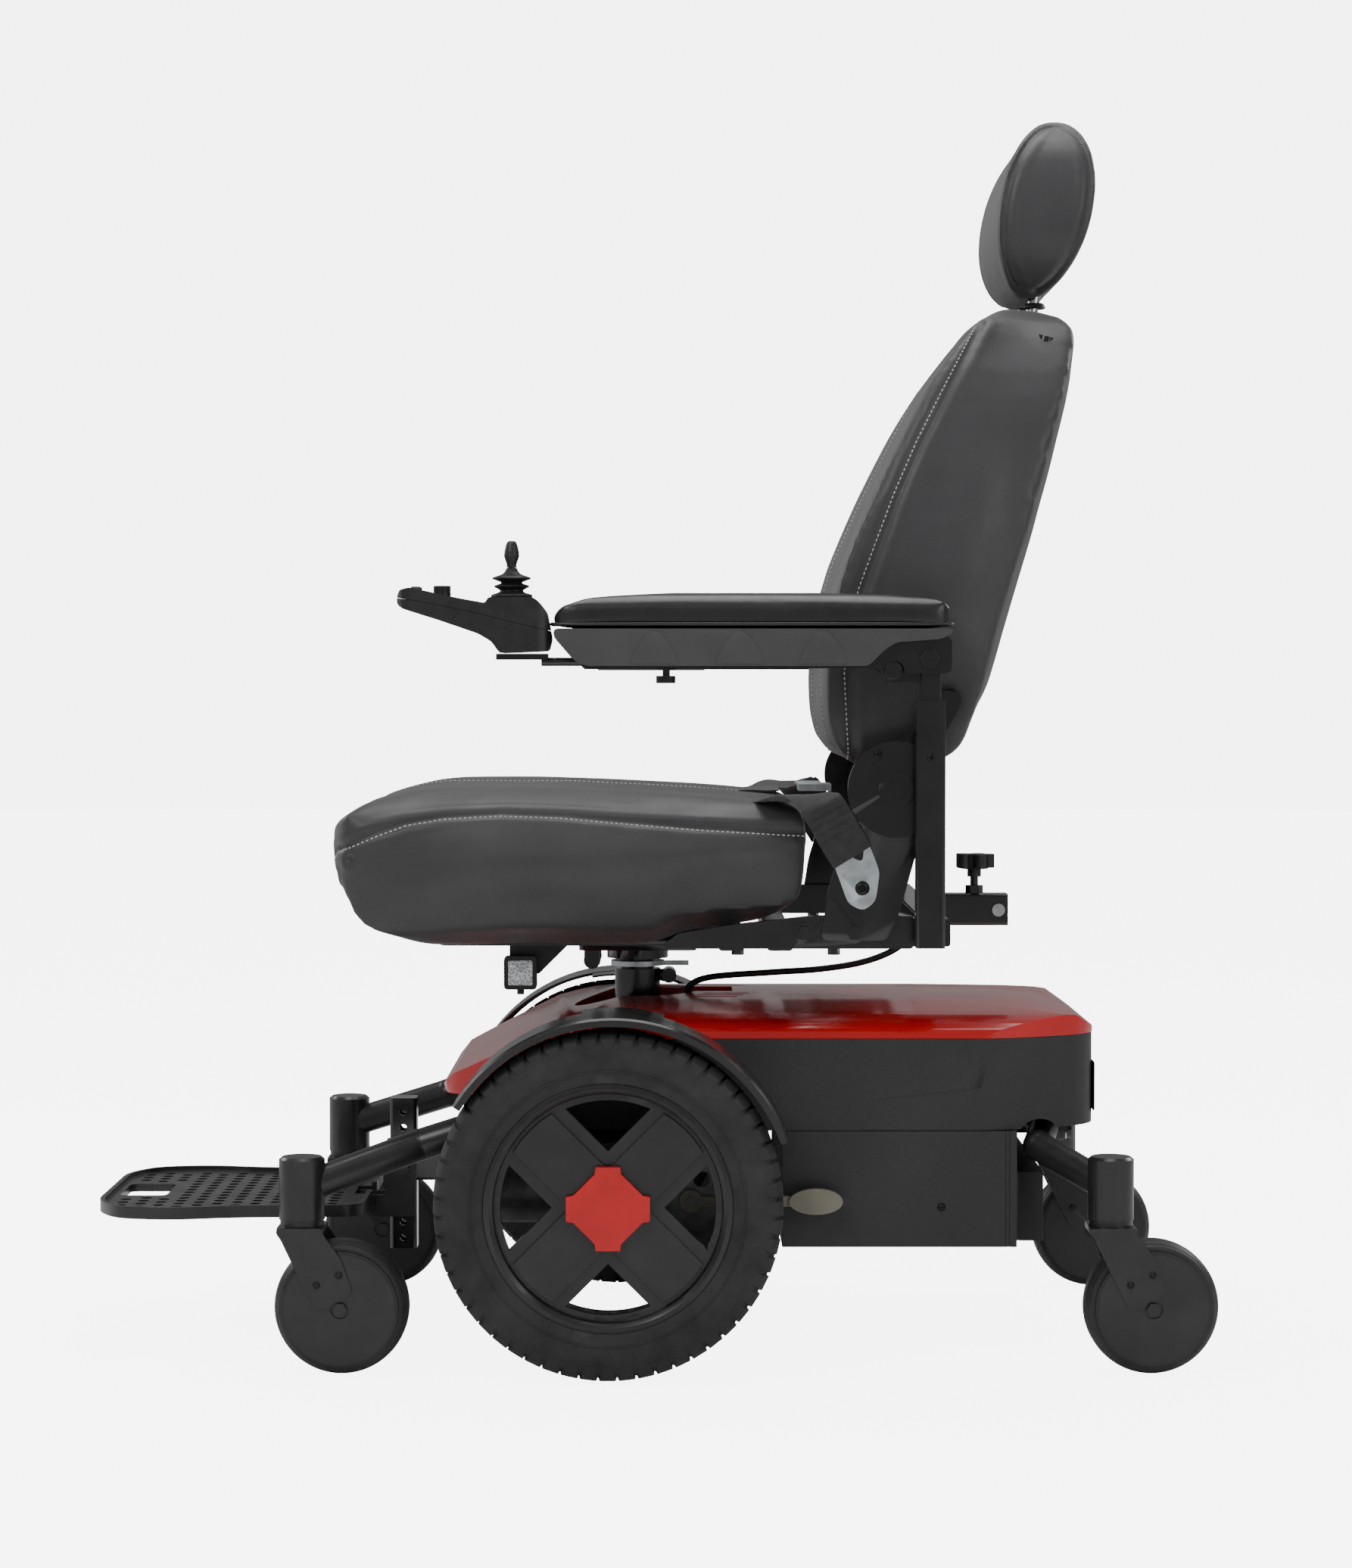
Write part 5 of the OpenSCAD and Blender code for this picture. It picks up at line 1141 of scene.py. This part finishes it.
class CHAIR_OT_belt(bpy.types.Operator):
    """Weaves the lap belt"""
    bl_idname = "chair.belt"
    bl_label = "Lap belt"

    def execute(self, context):
        bm = bmesh.new()

        def webbing(line, wide, thick=0.0022, lanes=6):
            """A strap along (point, across) pairs, its edges turned slightly over."""
            rings = []
            for i, (p, a) in enumerate(line):
                t = (line[min(i + 1, len(line) - 1)][0] - line[max(i - 1, 0)][0]).normalized()
                a = (a - t * a.dot(t)).normalized()
                n = t.cross(a)
                up, down = [], []
                for k in range(lanes + 1):
                    u = 2 * k / lanes - 1
                    bow = 0.0006 * (1 - u * u) + 0.00035 * math.sin(9 * i + 4 * u)
                    up.append(p + a * u * wide / 2 + n * (thick / 2 * (1 - 0.5 * abs(u) ** 6) + bow))
                    down.append(p + a * u * wide / 2 - n * (thick / 2 * (1 - 0.5 * abs(u) ** 6) - bow))
                rings.append(up + down[::-1])
            loft(bm, rings)

        stitches = []
        cushion = bpy.data.objects["seat_cushion_cover"].data
        for _, s in SIDES:
            lies = on_surface(cushion, [at(x, s * y, 620) for x, y in ((150, 88), (152, 150), (160, 205))], (0, 0, -1))
            down = [p + Vector((0, 0, 0.0022)) for p, _ in lies]
            down += [at(x, s * y, z) for x, y, z in (
                (184, 244, 549), (197, 259, 543), (206, 263.8, 533), (216, 264, 515), (230, 264, 492))]
            along = [Vector((1, 0, 0))] * 5 + [Vector((0.9, 0, 0.4)), Vector((0.86, 0, 0.5)), Vector((0.84, 0, 0.54))]
            path = curved(down, 5)
            line = [(p, along[min(i // 5, 7)].lerp(along[min(i // 5 + 1, 7)], (i % 5) / 5)) for i, p in enumerate(path)]
            webbing(line, 0.042)
            for k in range(5):
                rows = []
                for u in [j / 10 for j in range(11)]:
                    along_row = 34 * (u - 0.5)
                    rows.append(at(203 + 3 * k + along_row * 0.86, s * 266.2, 541 - 7 * k + along_row * 0.5))
                stitches.append(rows)
        piece = keep("lap_belt_webbing", mesh_of(bm, "belt"), "webbing", "seat", 60)
        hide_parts("lap_belt")
        stitched("belt_stitches", stitches, "seat", "dark thread", 0.0030, 0.0024, 0.0009)
        return {"FINISHED"}


class CHAIR_OT_controls(bpy.types.Operator):
    """Makes the joystick's ribbed boot and the case's trim"""
    bl_idname = "chair.controls"
    bl_label = "Controls"

    def execute(self, context):
        centre = at(-90, JOY_Y, 736.3)
        # the gaiter's foot rides on the joystick case; its waist and top are loose pieces that move with neither the
        # gimbal nor the stick
        foot = [(10.2, 0), (19, 0), (19.5, 0.6), (19.4, 1.8), (18.6, 2.6), (14, 4), (10.2, 4)]
        waist = [(10.2, 4), (14, 4), (11.2, 5.2), (10.9, 6), (11.2, 6.8), (13.6, 8.2), (10.2, 8.2)]
        top = [(10.2, 8.2), (13.6, 8.2), (16, 9.4), (16.5, 10.2), (16.1, 11), (13.2, 12), (10.3, 12.9), (9.9, 13.6),
               (10.3, 14.3), (14, 15.6), (17.7, 16.9), (18.2, 17.7), (17.8, 18.5), (14, 19.8), (9.6, 21.4), (8, 22.3),
               (6.6, 24), (6, 25.2), (5.2, 26.8), (4.6, 27.4), (3.1, 27.4), (3.1, 23), (7, 16), (8.2, 12)]
        for name, outline, low, high, z0, z1 in (("foot", foot, "joystick", None, 0, 0),
                                                 ("waist", waist, "joystick", "gimbal", 4, 8.2),
                                                 ("top", top, "gimbal", "stick", 8.2, 16)):
            bm = bmesh.new()
            turned(bm, [(r / 1000, z / 1000) for r, z in outline], centre, "Z", 56)
            boot = keep(f"joystick_gaiter_{name}", mesh_of(bm, "gaiter"), "boot rubber", None if high else low, 50)
            if high:
                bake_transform(boot)
            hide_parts("joystick_boot")
        bm = bmesh.new()
        for _, s in SIDES:
            rings = []
            for x, z, half in ((-193, 736.3, 12), (-185, 734.6, 24), (-164, 730, 27.5), (-120, 721, 28), (-85, 712, 28),
                               (-64, 707.6, 27.5), (-57, 705.8, 22)):
                rings.append([at(x, JOY_Y + s * u, z + v)
                              for u, v in ((half - 5, -0.8), (half, -0.8), (half, 0.8), (half - 5, 0.8))])
            loft(bm, rings)
        keep("joystick_gasket", mesh_of(bm, "gasket"), "boot rubber", "joystick", 30)
        bm = bmesh.new()
        for i in range(5):
            a = math.radians(-60 + 30 * i)
            turned(bm, [(0.0002, 0), (0.0013, 0), (0.0013, 0.0007), (0.0008, 0.0011), (0.0002, 0.0011)],
                   at(-155 - 15 * math.cos(a), JOY_Y + 15 * math.sin(a), 738.4), "Z", 12)
        keep("status_lamps", mesh_of(bm, "lamps"), "reflector lens", "joystick", 50)
        bm = bmesh.new()
        for _, s in SIDES:
            y = s * 156.6
            corners = [(-100, 361.5), (-76, 361.5), (-76, 386), (-100, 386)]
            x2, z2 = -88, 373.7
            for (x0, z0), (x1, z1) in zip(corners, corners[1:] + corners[:1]):
                low = [at(x0, y, z0), at(x1, y, z1), at(x2, y, z2)]
                top = [at(x0 + (x2 - x0) * 0.08, y + s * 0.3, z0 + (z2 - z0) * 0.08),
                       at(x1 + (x2 - x1) * 0.08, y + s * 0.3, z1 + (z2 - z1) * 0.08), at(x2, y + s * 1.2, z2)]
                loft(bm, [low, top])
        bmesh.ops.recalc_face_normals(bm, faces=bm.faces)
        mesh = bpy.data.meshes.new("lens")
        bm.to_mesh(mesh)
        bm.free()
        keep("reflector_lenses", mesh, "reflector lens", "seat", 10)
        return {"FINISHED"}


class CHAIR_PT_panel(bpy.types.Panel):
    """Lists the chair's pieces and their settings"""
    bl_label = "Wheelchair"
    bl_idname = "CHAIR_PT_panel"
    bl_space_type = "VIEW_3D"
    bl_region_type = "UI"
    bl_category = "Wheelchair"

    def draw(self, context):
        for group in GROUPS:
            box = self.layout.box()
            owner = getattr(context.scene, group)
            for key in owner.bl_rna.properties.keys():
                if key not in ("rna_type", "name"):
                    box.prop(owner, key)
        for op in OPERATORS:
            self.layout.operator(op.bl_idname)


OPERATORS = (CHAIR_OT_stage, CHAIR_OT_cable, CHAIR_OT_seat, CHAIR_OT_back, CHAIR_OT_headrest, CHAIR_OT_arm_pads,
             CHAIR_OT_tyres, CHAIR_OT_casters, CHAIR_OT_rims, CHAIR_OT_covers, CHAIR_OT_metalwork, CHAIR_OT_screws,
             CHAIR_OT_belt, CHAIR_OT_controls)
CLASSES = tuple(GROUPS.values()) + OPERATORS + (CHAIR_PT_panel,)


def register():
    for c in CLASSES:
        bpy.utils.register_class(c)
    for name, group in GROUPS.items():
        setattr(bpy.types.Scene, name, PointerProperty(type=group))


def unregister():
    for name in GROUPS:
        delattr(bpy.types.Scene, name)
    for c in reversed(CLASSES):
        bpy.utils.unregister_class(c)


def main():
    register()
    make_finishes(bpy.context.scene)
    for op in OPERATORS:
        group, name = op.bl_idname.split(".")
        getattr(getattr(bpy.ops, group), name)()


if __name__ == "__main__":
    main()
